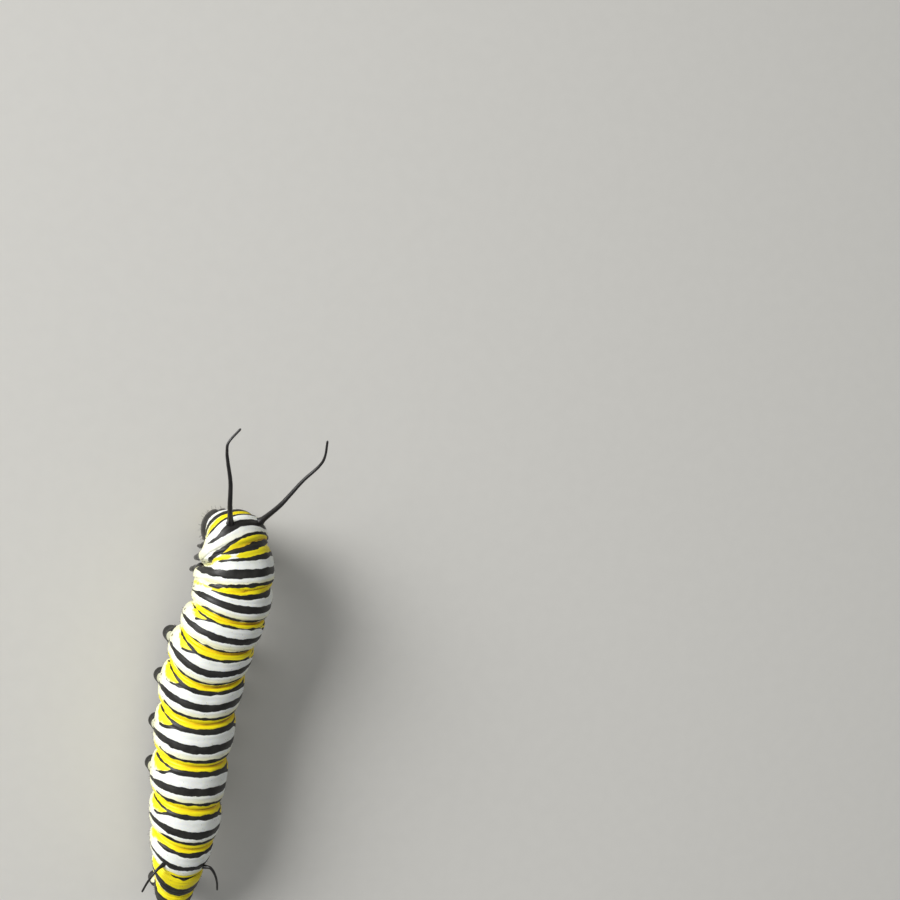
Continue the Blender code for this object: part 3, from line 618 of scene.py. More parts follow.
def skin_finish(settings):
    """Soft cuticle of a larva: thin, translucent and satin, so light softens in the pale bands, and
    the black ones show a grey sheen. Fine cross wrinkles and grains break up the gloss."""
    finish, tree, shader = new_finish(
        "soft_cuticle", IOR=1.45, Metallic=0.0, Subsurface_Radius=(0.9, 0.8, 0.45), Subsurface_Scale=0.0004,
        Coat_Weight=0.05, Coat_Roughness=0.25,
    )
    place = add_node(tree, "vector", attribute_name="straight")
    names = ("black", "yellow", "cream", "shade_and_tone", "under")
    black, yellow, cream, shade_and_tone, under = (add_node(tree, "number", attribute_name=name) for name in names)
    rag, soft = settings.ragged_edge / MM, settings.soft_edge / MM
    ragged = add_node(tree, "times_add", add_node(tree, "noise", place, per_mm(SKIN_RAG), 4.0), 2 * rag, -rag)
    black = add_node(tree, "ease", add_node(tree, "add", black, ragged), -soft, soft)
    # The yellow bands fade out over a wider and more ragged edge than the black ones.
    yellow = add_node(tree, "add", yellow, add_node(tree, "times", ragged, 1.5))
    yellow = add_node(tree, "ease", yellow, -2.5 * soft, 2.5 * soft)
    cloud = add_node(tree, "ease", add_node(tree, "noise", place, per_mm(SKIN_CLOUD), 4.0), 0.35, 0.7)
    light, thin, medium, heavy = (add_node(tree, "times", cloud, share) for share in (0.15, 0.25, 0.45, 0.6))
    tints = {name: linear(colour) for name, colour in SKIN_TINTS.items()}
    tinted = add_node(tree, "mix", medium, settings.cream, tints["cream"])
    pale = add_node(tree, "mix", cream, settings.white, tinted)
    pale = add_node(tree, "mix", thin, pale, tints["pale"])
    # Painted shade: the yellow turns ochre in the folds and on the right side, and brown along the fold line
    # where the shade field is strongest; the light clouds add random ochre tone.
    gold = add_node(tree, "mix", shade_and_tone, settings.yellow, settings.deep_yellow)
    gold = add_node(tree, "mix", light, gold, settings.deep_yellow)
    gold = add_node(tree, "mix", add_node(tree, "ease", shade_and_tone, 0.6, 1.0), gold, tints["crease"])
    flesh = add_node(tree, "mix", yellow, pale, gold)
    flesh = add_node(tree, "mix", add_node(tree, "times", under, 0.75), flesh, tints["belly"])
    dark = add_node(tree, "mix", heavy, settings.black, tints["black"])
    wrinkles = add_node(tree, "stretch", place, (1.0, 0.22, 0.22))
    wrinkles = add_node(tree, "noise", wrinkles, per_mm(SKIN_WRINKLE), 3.0)
    grains = add_node(tree, "cells", place, per_mm(SKIN_GRAIN))
    height = add_node(tree, "times_add", grains, 0.35, wrinkles)
    connect(
        tree, shader, Base_Color=add_node(tree, "mix", black, flesh, dark),
        Subsurface_Weight=add_node(tree, "times", add_node(tree, "less", 1.0, black), 0.18),
        Normal=add_node(tree, "bump", height, 0.5, 0.00003),
        Roughness=add_node(tree, "range", wrinkles, NOISE_LOW, NOISE_HIGH, 0.42, 0.58),
    )
    return finish


# Dark cuticles: base and tint, share of the tint, roughness, mm across a grain, bump and coat.
DARK_FINISHES = {
    # jaws tanned hard: nearly black red-brown, with a glassy shine
    "tanned_cuticle": ("#1b0f09", "#4a2413", 0.7, 0.28, 0.08, 0.4, 0.4),
    # lips: softer and duller, dark brown clouded with straw
    "lip_cuticle": ("#23201c", "#6c6449", 0.7, 0.4, 0.07, 0.5, 0.1),
    # antennae, whose thin joints let pale flesh through
    "pale_joint_cuticle": ("#3a352a", "#a89f78", 0.8, 0.42, 0.06, 0.4, 0.1),
    # legs: polished black shells with sharp lights
    "leg_cuticle": ("#0b0a09", "#26231f", 0.5, 0.3, 0.07, 0.5, 0.35),
    # claws: clear brown horn
    "claw_horn": ("#1c0f08", "#5a2e12", 0.8, 0.22, 0.1, 0.2, 0.5),
    # feelers, soft skin drawn out into a whip: matt black with a faint brown bloom and fine rings
    "feeler_cuticle": ("#090808", "#1f1814", 0.5, 0.42, 0.07, 0.35, 0.1),
    # hooks of the soles: amber horn
    "hook_horn": ("#3a1e0c", "#7a4a20", 0.8, 0.3, 0.1, 0.2, 0.3),
    # rims of the breathing holes: satin black
    "rim_cuticle": ("#0b0a09", "#2b2622", 0.5, 0.35, 0.06, 0.4, 0.3),
    # bristles: dark brown hairs with a dry shine
    "bristle": ("#14110e", "#4b4036", 0.6, 0.4, 0.1, 0.1, 0.1),
}


def dark_finish(name):
    """Hard cuticle of one dark colour: clouds of a second colour and small grains change its gloss. It
    gives the eye the dull shine of horn."""
    base, tint, tint_share, roughness, grain, bump, coat = DARK_FINISHES[name]
    finish, tree, shader = new_finish(name, IOR=1.55, Metallic=0.0, Coat_Weight=coat, Coat_Roughness=0.2)
    place = add_node(tree, "place")
    cloud = add_node(tree, "noise", place, per_mm(6 * grain), 4.0)
    share = add_node(tree, "times", add_node(tree, "ease", cloud, 0.35, 0.7), tint_share)
    grains = add_node(tree, "cells", place, per_mm(grain))
    connect(
        tree, shader, Base_Color=add_node(tree, "mix", share, linear(base), linear(tint)),
        Normal=add_node(tree, "bump", grains, bump, 0.2 * grain * MM),
        Roughness=add_node(tree, "range", cloud, NOISE_LOW, NOISE_HIGH, roughness - 0.06, roughness + 0.1),
    )
    return finish


HEAD_RAG, HEAD_CLOUD, HEAD_PIT = 0.3, 0.6, 0.08  # mm across a cell


def head_finish(settings):
    """Hard polished capsule of the head, black with pale stripes: smooth domes that mirror the light
    in soft patches, with shallow pits."""
    finish, tree, shader = new_finish(
        "hard_cuticle", IOR=1.55, Metallic=0.0, Coat_Weight=0.3, Coat_Roughness=0.15)
    place = add_node(tree, "place")
    ragged = add_node(tree, "times_add", add_node(tree, "noise", place, per_mm(HEAD_RAG), 3.0), 0.1, -0.05)
    stripe = add_node(tree, "add", add_node(tree, "number", attribute_name="stripe"), ragged)
    stripe = add_node(tree, "ease", stripe, -0.03, 0.03)
    cloud = add_node(tree, "noise", place, per_mm(HEAD_CLOUD), 4.0)
    pale = add_node(tree, "ease", cloud, 0.4, 0.65)
    pale = add_node(tree, "mix", pale, settings.stripe, settings.stripe_shade)
    dark = add_node(tree, "mix", add_node(tree, "ease", cloud, 0.4, 0.7), settings.black, linear("#2a2724"))
    pits = add_node(tree, "cells", place, per_mm(HEAD_PIT))
    connect(
        tree, shader, Base_Color=add_node(tree, "mix", stripe, dark, pale),
        Normal=add_node(tree, "bump", pits, 0.2, 0.000012),
        Roughness=add_node(tree, "range", cloud, NOISE_LOW, NOISE_HIGH, 0.22, 0.36),
    )
    return finish


def cornea_finish():
    """Clear cornea over dark pigment: near-black, with a small bright point of light."""
    finish, tree, shader = new_finish(
        "cornea", IOR=1.45, Metallic=0.0, Roughness=0.12, Coat_Weight=1.0, Coat_Roughness=0.05)
    cloud = add_node(tree, "noise", add_node(tree, "place"), per_mm(0.15))
    connect(tree, shader, Base_Color=add_node(tree, "mix", cloud, linear("#050403"), linear("#1d120b")))
    return finish


def paper_finish(colour):
    """Matt paper of the floor: an even pale ground with a trace of fibre."""
    finish, tree, shader = new_finish("matt_paper", IOR=1.5, Metallic=0.0, Roughness=0.85)
    fibre = add_node(tree, "noise", add_node(tree, "place"), per_mm(1.5), 5.0)
    darker = (*(0.985 * part for part in colour[:3]), 1.0)
    shade = add_node(tree, "ease", fibre, NOISE_LOW, NOISE_HIGH)
    connect(tree, shader, Base_Color=add_node(tree, "mix", shade, darker, colour))
    return finish


# The skin

def ring_places():
    """s of every ring: evenly spaced places behind the fold, drawn closer in the folds by a sine, with
    quarter-circle spacing over the two rounded ends."""
    even = np.linspace(0, LAST + BEFORE, RINGS)
    body = even - CROWDING / (2 * np.pi) * np.sin(2 * np.pi * even) - BEFORE
    turn = np.linspace(0, np.pi / 2, END_RINGS + 1)[1:-1]
    neck = -BEFORE - NECK_ROUND * np.sin(turn)
    tail = LAST + TAIL_ROUND * np.sin(np.linspace(0, np.pi / 2, 2 * END_RINGS)[1:-1])
    return np.concatenate([neck[::-1], body[body < LAST], tail])


def mark_distance(marks, place, angle, length, girth, spread=0.0):
    """Distance in mm to the nearest edge of these marks, positive inside: the least of the way to the
    front edge, to the back edge and to the last knot, and the greatest over all marks. Each mark is
    wider by the spread on both sides, and one narrower than FULL_SPREAD by less, down to a least share."""
    found = np.full(place.shape, -2.0)
    for first, last, knots in marks:
        angles, fronts, backs = np.array(knots, float).T
        front, back = np.interp(angle, angles, fronts), np.interp(angle, angles, backs)
        to_ends = (angles[-1] - angle) * girth if angles[-1] < 180 else np.full(place.shape, 2.0)
        if angles[0] > 0:
            to_ends = np.minimum(to_ends, (angle - angles[0]) * girth)
        for segment in range(first, last + 1):
            inside = np.minimum(place - segment - front, segment + back - place) * length
            inside = inside + spread * np.clip((back - front) / FULL_SPREAD, 0.15, 1)
            found = np.maximum(found, np.minimum(inside, to_ends))
    return found


def skin_fields(s, theta, points):
    """The numbers that the finish reads, for each point of the grid: signed distances in mm to the
    black and yellow marks, shares of cream, of painted shade in ochre yellow (with a little random
    tone) and of belly, and the place on a straightened body in metres, for the fine textures."""
    place, angle = mark_place(s, theta)
    spacing = np.gradient(s[:, 0])[:, None]
    length = np.linalg.norm(np.gradient(points, axis=0), axis=-1) / spacing
    girth = np.linalg.norm(points - np.roll(points, 1, axis=1), axis=-1) / (360 / SIDES)
    waves, blotches = layers(s, theta, WAVES), layers(s, theta, BLOTCHES)
    black = mark_distance(BLACK_MARKS, place, angle, length, girth, BLACK_SPREAD) + BLACK_RAG * waves
    belly = mark_distance(BELLY_MARKS, place, angle, length, girth)
    belly = belly + BELLY_RAG * blotches * smooth(angle, *BELLY_SIDE)
    for place_there, angle_there, *_ in prolegs():
        away = np.linalg.norm(points - body_point(place_there, angle_there), axis=-1)
        belly = np.maximum(belly, PROLEG_STAIN + STAIN_RAG * blotches - away)
    yellow = mark_distance(YELLOW_MARKS, place, angle, length, girth) + YELLOW_RAG * waves
    # Painted highlight: on the left only, one yellow band fades to pale in a small oval.
    painted_highlight = ((angle - HIGHLIGHT_ANGLE) / HIGHLIGHT_HALF[0]) ** 2 + ((place - HIGHLIGHT_PLACE) / HIGHLIGHT_HALF[1]) ** 2
    painted_highlight = np.exp(-painted_highlight) * (theta < 0)
    yellow = yellow * (1 - 0.5 * painted_highlight) - 0.2 * painted_highlight
    yellow = yellow - YELLOW_LESS * smooth(angle, *YELLOW_LESS_SIDE)
    yellow = yellow * (1 - YELLOW_SOFT * smooth(angle, *YELLOW_SOFT_SIDE))
    within = place % 1.0
    degrees = np.degrees(theta)
    cream = smooth(within, CREAM_FROM, CREAM_FROM + 0.14) * (1 - smooth(within, CREAM_TO, CREAM_TO + 0.1))
    cream = cream * np.where(np.floor(place) == 1, 0.3, 0.8)
    cream = np.maximum(cream, 0.8 * smooth(angle, *CREAM_LOW_SIDE))
    fold = np.minimum(within, 1 - within)
    # Painted shade in ochre yellow: across each fold on the back, as a thin brown line in the folds from the
    # middle of the back to the right, and over the right side, which the lamp leaves in shade. The blotches
    # add a little random tone.
    shade_and_tone = 0.45 * (1 - smooth(fold, 0.0, 0.03)) * (1 - 0.85 * smooth(angle, 25, 55))
    shade_and_tone = shade_and_tone + 0.55 * (1 - smooth(fold, 0.004, 0.017)) * smooth(degrees, -40, 15)
    shade_and_tone = np.clip(shade_and_tone + 0.3 * smooth(degrees, 20, 75) + 0.08 * blotches, 0, 1)
    straight = STRAIGHT * np.stack([s, np.sin(theta), np.cos(theta)], -1) * MM
    fields = {
        "black": np.maximum(black, belly), "yellow": yellow, "cream": cream, "shade_and_tone": shade_and_tone,
        "under": smooth(angle, *UNDER_SIDE),
    }
    return {name: np.clip(values, -1, 1).ravel() for name, values in fields.items()} | {
        "straight": straight.reshape(-1, 3)
    }


def hole_rim(s, theta, place, angle, size, index):
    """The block of the grid that a proleg grows from, as a mask over its quads, and the loop of point
    numbers round it. Its half width is `size` mm both ways."""
    length = np.linalg.norm(body_point(place + STEP, angle) - body_point(place - STEP, angle)) / (2 * STEP)
    girth = np.linalg.norm(body_point(place, angle + STEP) - body_point(place, angle - STEP)) / (2 * STEP)
    first, last = np.searchsorted(s, (place - size / length, place + size / length))
    left, right = np.searchsorted(theta, (angle - size / girth, angle + size / girth))
    mask = np.zeros((len(s) - 1, len(theta)), bool)
    mask[first:last, left:right] = True
    loop = np.concatenate([index[first, left:right], index[first:last, right], index[last, right:left:-1],
                           index[last:first:-1, left]])
    return mask, loop


def draw_out(rim, normals, root, foot, heart, table):
    """Rings of a proleg from the rim of its patch to its sole. The flare is a Bezier curve that
    leaves the skin along its slope and meets the wall upright; the wall follows the table of half
    widths down to the floor, and the sole is a flat disc drawn in to its middle. Also gives the turn
    of each line of points from the outer side, which faces away from the body's heart line."""
    heights, widths = np.array(table[::-1]).T

    def ring(height, scale=1.0):
        middle = np.append(root[:2] * height + foot[:2] * (1 - height), root[2] * height)
        return middle, scale * WALL_SHARE * np.interp(height + WIDTH_BLEND, heights, widths).mean()

    middle, width = ring(FLARE_END)
    away = rim - middle
    turn = np.arctan2(away[:, 1], away[:, 0])
    circle = np.stack([np.cos(turn), np.sin(turn), 0 * turn], -1)
    wall = middle + width * circle
    span = np.linalg.norm(rim - wall, axis=1, keepdims=True)
    inwards = root - rim
    inwards = unit(inwards - (inwards * normals).sum(axis=1, keepdims=True) * normals)
    leave, meet = rim + FLARE_LEAVE * span * inwards, wall + FLARE_MEET * span * np.array((0, 0, 1.0))
    t = np.linspace(0, 1, FLARE_RINGS + 1)[1:, None, None]
    flare = (1 - t) ** 3 * rim + 3 * t * (1 - t) ** 2 * leave + 3 * t**2 * (1 - t) * meet + t**3 * wall
    rings = list(flare)
    for height in np.linspace(FLARE_END, WALL_END, WALL_RINGS)[1:]:
        middle, width = ring(height)
        rings.append(middle + width * circle)
    for scale, lift in SOLE_RINGS:
        middle, width = ring(0.0, scale)
        rings.append(middle + width * SOLE_SHARE * circle + np.array((0, 0, lift * root[2])))
    outer = np.arctan2(foot[1] - heart[1], foot[0] - heart[0])
    return np.array(rings), foot * np.array((1, 1, 0)), (turn - outer + np.pi) % (2 * np.pi) - np.pi


class SkinSettings(bpy.types.PropertyGroup):
    """Colours and fine depths of the skin."""

    white: colour_property("White", "Widest pale bands", "#f4f6f1")
    cream: colour_property("Cream", "Pale bands behind the thick black ones", "#f1efc4")
    yellow: colour_property("Yellow", "Bands over the folds", "#fbeb10")
    # This ochre is also the painted shade in the folds and over the right side.
    deep_yellow: colour_property("Deep yellow", "Yellow in the folds", "#eaba0c")
    black: colour_property("Black", "Black bands", "#191815")
    crease_depth: bpy.props.FloatProperty(
        name="Crease depth", description="Creases, as a share of their usual depth", default=1.0, min=0,
        max=2)
    wrinkle_depth: length_property("Wrinkle depth", "Height of the fine cross wrinkles", 0.000012)
    ragged_edge: length_property("Ragged edge", "How far the edges of the bands wander", 0.00006)
    soft_edge: length_property(
        "Soft edge", "Half width of the blend at the edge of a black band", 0.00002, 0.000001)


class LARVA_OT_skin(bpy.types.Operator):
    """One closed skin from neck to tail, with ten prolegs drawn out of it."""

    bl_idname = "larva.skin"
    bl_label = "Skin"

    def execute(self, context):
        settings = context.scene.larva_skin
        s, theta = ring_places(), np.linspace(-np.pi, np.pi, SIDES, endpoint=False)
        grid_s, grid_theta = np.meshgrid(s, theta, indexing="ij")
        grid = skin_point(grid_s, grid_theta)
        normals = outward(grid_s, grid_theta).reshape(-1, 3)
        fields = skin_fields(grid_s, grid_theta, grid)
        points, quads, triangles = closed(grid)
        fields = {name: np.concatenate([values, values[:1], values[-1:]]) for name, values in fields.items()}
        keep = np.ones((len(s) - 1, SIDES), bool)
        index = np.arange(len(s) * SIDES).reshape(len(s), SIDES)
        added_fields = {name: [values] for name, values in fields.items()}
        added_points, added_quads, added_triangles, count = [points], [], [triangles], len(points)
        for place, angle, root, foot, _, patch, widths, _ in prolegs():
            mask, loop = hole_rim(s, theta, place, angle, patch, index)
            keep &= ~mask
            fields["black"][loop] = np.maximum(fields["black"][loop], RIM_BLACK)
            heart = spline(TABLE, place + FIRST)[:3]
            rings, sole, turn = draw_out(points[loop], normals[loop], root, foot, heart, widths)
            rows, columns = rings.shape[:2]
            numbers = np.concatenate([loop[None], count + np.arange(rows * columns).reshape(rows, columns)])
            after = np.roll(numbers, -1, axis=1)
            walls = np.stack([numbers[:-1], after[:-1], after[1:], numbers[1:]], -1)
            added_quads.append(walls.reshape(-1, 4))
            middle = np.full(columns, count + rows * columns)
            added_triangles.append(np.stack([numbers[-1], after[-1], middle], -1))
            added_points += [rings.reshape(-1, 3), sole[None]]
            count += rows * columns + 1
            self.extend_fields(added_fields, fields, loop, rings, points, turn)
        added_quads.append(quads.reshape(len(s) - 1, SIDES, 4)[keep])
        part = (np.concatenate(added_points), np.concatenate(added_quads), np.concatenate(added_triangles))
        fields = {name: np.concatenate(values) for name, values in added_fields.items()}
        add_piece("banded_skin", [part], skin_finish(settings), FLESH, fields)
        return {"FINISHED"}

    @staticmethod
    def extend_fields(added, fields, loop, rings, points, turn):
        """Carries each field from the rim down a proleg, turning it black, with a grey sole and an
        oval pale spot on its outer side."""
        rows = len(rings)
        share = np.linspace(0, 1, rows)[:, None]
        black = fields["black"][loop] * (1 - smooth(share, 0, 0.12)) + 0.6 * smooth(share, 0.0, 0.12)
        black = black * (1 - smooth(share, 0.86, 0.95)) - 0.3 * smooth(share, 0.88, 0.95)
        height = rings[..., 2] / rings[0, :, 2].max()
        spot = np.hypot(turn[None] / SPOT_TURN, (height - SPOT_HEIGHT) / SPOT_HALF) - 1
        black = np.minimum(black, 0.5 * spot)
        goals = {"yellow": -1.0, "cream": 0.5, "shade_and_tone": 0.0, "under": 0.9}
        for name, goal in goals.items():
            values = fields[name][loop] * (1 - smooth(share, 0, 0.4)) + goal * smooth(share, 0, 0.4)
            added[name] += [values.ravel(), values[-1, :1]]
        added["black"] += [black.ravel(), black[-1, :1]]
        straight = fields["straight"][loop] + (rings - points[loop]) * MM
        added["straight"] += [straight.reshape(-1, 3), straight[-1, :1]]


# Head

class HeadSettings(bpy.types.PropertyGroup):
    """Colours of the head."""

    stripe: colour_property("Stripe", "Pale stripes of the head", "#f0e79a")
    stripe_shade: colour_property("Stripe shade", "Deeper clouds in the stripes", "#e0cf4e")
    black: colour_property("Black", "Dark ground of the head", "#151310")
    stemma_radius: length_property("Eye radius", "Radius of each small eye", STEMMA_RADIUS * MM, 0.00005)


def triangle_distance(across, up):
    """Distance in mm outside the triangle of the face: from its slanting sides, or from the apex
    where a point lies beyond it, and negative inside."""
    normal = unit(np.array((2.05, 0.62)))
    across, up = np.abs(across), up - 0.55
    beyond = across * normal[1] - up * normal[0] < 0
    return np.where(beyond, np.hypot(across, up), across * normal[0] + up * normal[1])


def head_rings(down, turn):
    """The capsule: a ball drawn to its half sizes, with a groove between its two domes, fuller
    cheeks, and fine seams, bell-shaped in section, down the middle and along the triangle's sides."""
    ball_points = on_ball(down, turn)
    local = ball_points * HEAD_HALF
    across, up = down * ball_points[..., 0], down * ball_points[..., 2]
    stretch = 1.72 / (np.sin(down) + 1e-9)
    across, up = across * stretch, up * stretch
    middle = np.exp(-((local[..., 0] / GROOVE_WIDTH) ** 2))
    crown = np.clip(local[..., 2] / HEAD_HALF[2] + GROOVE_START, 0, 1)
    cheeks = 1 + CHEEK_SWELL * np.clip(-local[..., 2] / HEAD_HALF[2], 0, 1)
    outside = triangle_distance(across, up)
    seam = np.exp(-((across / 0.05) ** 2)) * smooth(up, 0.4, 0.7)
    slanting = np.exp(-((outside / 0.045) ** 2)) * smooth(-up, -0.6, -0.4) * smooth(up, -2.2, -2.0)
    seam = np.maximum(seam, slanting)
    local = local * ((1 - GROOVE_DEPTH * middle * crown) * cheeks * (1 - 0.022 * seam))[..., None]
    return local, across, up, outside


def head_stripes(across, up, outside):
    """Signed distance to the pale stripes: the triangle of the face, a V round it, and a wide arch
    that runs from cheek to cheek over the crown."""
    inner = np.minimum(-0.1 - outside, up + 1.2)
    vee = np.minimum(0.17 - np.abs(outside - 0.4), up + 1.45)
    around = np.hypot(across, np.maximum(up + 0.1, 0))
    arch = np.minimum(0.21 - np.abs(around - 1.7 - 0.1 * up), up + 1.15)
    return np.maximum.reduce([inner, vee, arch])


class LARVA_OT_head(bpy.types.Operator):
    """The striped capsule of the head."""

    bl_idname = "larva.head"
    bl_label = "Head"

    def execute(self, context):
        down = np.linspace(0, np.pi, 122)[1:-1, None]
        turn = np.linspace(0, 2 * np.pi, 160, endpoint=False)
        local, across, up, outside = head_rings(down, turn)
        points, quads, triangles = closed(in_head(local))
        stripe = np.clip(head_stripes(across, up, outside), -1, 1).ravel()
        stripe = np.concatenate([stripe, stripe[:1], stripe[-1:]])
        finish = head_finish(context.scene.larva_head)
        add_piece("head_capsule", [(points, quads, triangles)], finish, ["head"],
                  {"stripe": stripe})
        return {"FINISHED"}


def stalk(side, root, way, widths, columns):
    """A jointed stalk on one side of the head: a straight tube with a radius at each reach."""
    mirror = np.array((side, 1, 1))
    reach, radii = np.array(widths).T
    return tube(root * mirror + reach[:, None] * unit(way * mirror), radii, columns)


class LARVA_OT_mouthparts(bpy.types.Operator):
    """Upper lip, toothed jaws, lower lip with its spinneret and feelers, and the short antennae."""

    bl_idname = "larva.mouthparts"
    bl_label = "Mouthparts"

    def execute(self, context):
        def notched(rings):
            """A lip whose free edge has a rounded notch in its middle."""
            notch = np.exp(-((rings[..., 0] / NOTCH_WIDTH) ** 2)) * np.clip(-rings[..., 2] / 0.34, 0, 1)
            return rings + notch[..., None] * np.array((0, 0, NOTCH_DEPTH))

        def toothed(rings):
            """A jaw whose cutting edge is a row of small teeth."""
            teeth = TOOTH_DEPTH * np.cos(rings[..., 0] * TEETH) * np.clip(-rings[..., 2] / 0.4, 0, 1) ** 2
            return rings + teeth[..., None] * np.array((0, 0.4, 1.0))

        lips = [ball(*UPPER_LIP, 30, 48, notched), ball(*LOWER_LIP, 30, 40), tube(*SPINNERET, 16)]
        jaws, antennae = [], []
        for side in (-1, 1):
            antennae.append(stalk(side, *ANTENNA, ANTENNA_WIDTHS, 20))
            lips.append(stalk(side, *PALP, PALP_WIDTHS, 16))
            jaws.append(ball(JAW[0] * np.array((side, 1, 1)), JAW[1], 30, 40, toothed))
        for name, parts, finish in (("lips", lips, "lip_cuticle"), ("jaws", jaws, "tanned_cuticle"),
                                    ("antennae", antennae, "pale_joint_cuticle")):
            parts = [(in_head(points), quads, triangles) for points, quads, triangles in parts]
            add_piece(name, parts, dark_finish(finish))
        return {"FINISHED"}


class LARVA_OT_eyes(bpy.types.Operator):
    """Six small domed eyes in an arc on each cheek."""

    bl_idname = "larva.eyes"
    bl_label = "Eyes"

    def execute(self, context):
        radius = context.scene.larva_head.stemma_radius / MM
        turn = np.radians(FIRST_STEMMA + STEMMA_STEP * np.arange(STEMMATA))
        face = STEMMATA_MIDDLE[0] + STEMMATA_ARC * np.cos(turn)
        crown = STEMMATA_MIDDLE[1] + STEMMATA_ARC * np.sin(turn)
        bulge = np.sqrt(1 - (face / HEAD_HALF[1]) ** 2 - (crown / HEAD_HALF[2]) ** 2)
        across = HEAD_HALF[0] * bulge
        places = np.concatenate([np.stack([side * across, face, crown], -1) for side in (-1, 1)])
        places = places * (1 + CHEEK_SWELL * 0.4)
        frames = np.repeat(np.eye(3)[None] * radius, len(places), axis=0)
        points, quads, triangles = scatter(ball((0, 0, 0), (1, 1, 1), 14, 20), places, frames)
        add_piece("eyes", [(in_head(points), quads, triangles)], cornea_finish())
        return {"FINISHED"}


# Limbs

def skin_frame(s, theta):
    """For points of the skin: the place, and the unit vectors outwards and towards the tail."""
    place, out = skin_point(s, theta), outward(s, theta)
    along = unit(body_point(s + STEP, theta) - body_point(s - STEP, theta))
    return place, out, along


def leg_path(s, side, tip, shares):
    """Middle line of a leg: straight from its root to its tip, bowed outwards by half a sine."""
    theta = side * np.radians(LEG_ANGLE)
    root = solid_point(np.float64(s), theta, GAP)
    way = unit(solid_point(np.float64(s), theta, 1.0) - solid_point(np.float64(s), theta, 0.0))
    shares = np.asarray(shares)[:, None]
    return root + shares * (np.array(tip) - root) + LEG_BOW * np.sin(np.pi * np.clip(shares, 0, 1)) * way


class LARVA_OT_legs(bpy.types.Operator):
    """Six jointed legs of the thorax, and their claws."""

    bl_idname = "larva.legs"
    bl_label = "Legs and claws"

    def execute(self, context):
        shares = np.linspace(LEG_WIDTHS[0][0], LEG_WIDTHS[-1][0], 90)
        knots, widths = np.array(LEG_WIDTHS).T
        width = np.interp(shares, knots, widths)
        for joint in LEG_JOINTS:
            width = width - JOINT_DEPTH * np.exp(-((shares - joint) / 0.014) ** 2) * (width > 0.1)
            width = width + JOINT_RIM * np.exp(-((shares - joint + 0.05) / 0.03) ** 2)
        legs, claws = [], []
        knots, widths = np.array(CLAW_WIDTHS).T
        claw_shares = np.linspace(knots[0], knots[-1], CLAW_RINGS)
        claw_width = np.interp(claw_shares, knots, widths)
        hook = CLAW_HOOK * np.linspace(0, 1, CLAW_RINGS)[:, None] ** 2
        for size, (s, left, right) in zip(LEG_SIZES, LEGS):
            for side, tip in ((-1, left), (1, right)):
                legs.append(tube(leg_path(s, side, tip, shares), size * width, 28))
                inwards = unit(np.array((CLAW_MEETING - tip[0], 0.6, 0.25)))
                claws.append(tube(leg_path(s, side, tip, claw_shares) + hook * inwards, claw_width, 12))
        names = [f"leg_{number}_{side}" for number in (1, 2, 3) for side in ("left", "right")]
        add_piece("legs", legs, dark_finish("leg_cuticle"), names)
        add_piece("claws", claws, dark_finish("claw_horn"))
        return {"FINISHED"}


class LARVA_OT_feelers(bpy.types.Operator):
    """Two long front feelers and two short rear ones: tubes along a curve, which thin by a power of
    their length, flare where they leave the skin by an exponential, and end in a quarter of a circle."""

    bl_idname = "larva.feelers"
    bl_label = "Feelers"

    def execute(self, context):
        parts = []
        for number, (s, degrees, (thick, thin), route) in enumerate(FEELERS):
            theta, s = np.radians(degrees), np.float64(s)
            root = solid_point(s, theta, 0.0)
            way = unit(0.25 * unit(solid_point(s, theta, 1.0) - root) + unit(np.array(route[0]) - root))
            line = np.vstack([root - FEELER_BURIED * way, root + FEELER_STEM * way, np.array(route)])
            share = np.linspace(0, 1, 170)
            path = spline(line, share * (len(line) - 1))
            run = np.append(0, np.cumsum(np.linalg.norm(np.diff(path, axis=0), axis=1)))
            width = thin + (thick - thin) * (1 - share) ** 1.5
            width = width + FEELER_FLARE * thick * np.exp(-np.clip(run - FLARE_FROM, 0, None) / FLARE_REACH)
            rounding = 1 - np.clip((run[-1] - run) / (1.6 * thin), 0, 1)
            width = width * np.sqrt(np.clip(1 - rounding**2, 0.002, 1))
            draws = soft_noise(run * 4.0, np.full(len(run), 0.5), 4, 20 + number)
            parts.append(tube(path, width * (1 + 0.035 * draws), 28))
        names = [f"{end}_feeler_{side}" for end in ("front", "rear") for side in ("left", "right")]
        add_piece("feelers", parts, dark_finish("feeler_cuticle"), names)
        return {"FINISHED"}


class LARVA_OT_hooks(bpy.types.Operator):
    """Small brown hooks along the inner edge of each sole."""

    bl_idname = "larva.hooks"
    bl_label = "Sole hooks"

    def execute(self, context):
        bend = np.linspace(0, 1, 7)
        path = np.stack([0.16 * bend, 0 * bend, 0.09 - 0.11 * bend**2 + 0.03 * bend**4], -1)
        template = tube(path - np.array((0.03, 0, 0)), 0.028 * (1 - bend) ** 0.7 + 0.003, 6)
        places, frames = [], []
        turn = np.radians(np.linspace(-80, 80, 19))[:, None]
        upright = np.array((0, 0, 1.0))
        for _, _, _, foot, level, _, _, crown in prolegs():
            out = -np.cos(turn) * level + np.sin(turn) * np.cross(upright, level)
            places.append(foot * np.array((1, 1, 0)) + crown * out)
            frames.append(np.stack([out, np.cross(upright, out), np.tile(upright, (len(out), 1))], -1))
        part = scatter(template, np.concatenate(places), np.concatenate(frames))
        add_piece("sole_hooks", [part], dark_finish("hook_horn"))
        return {"FINISHED"}


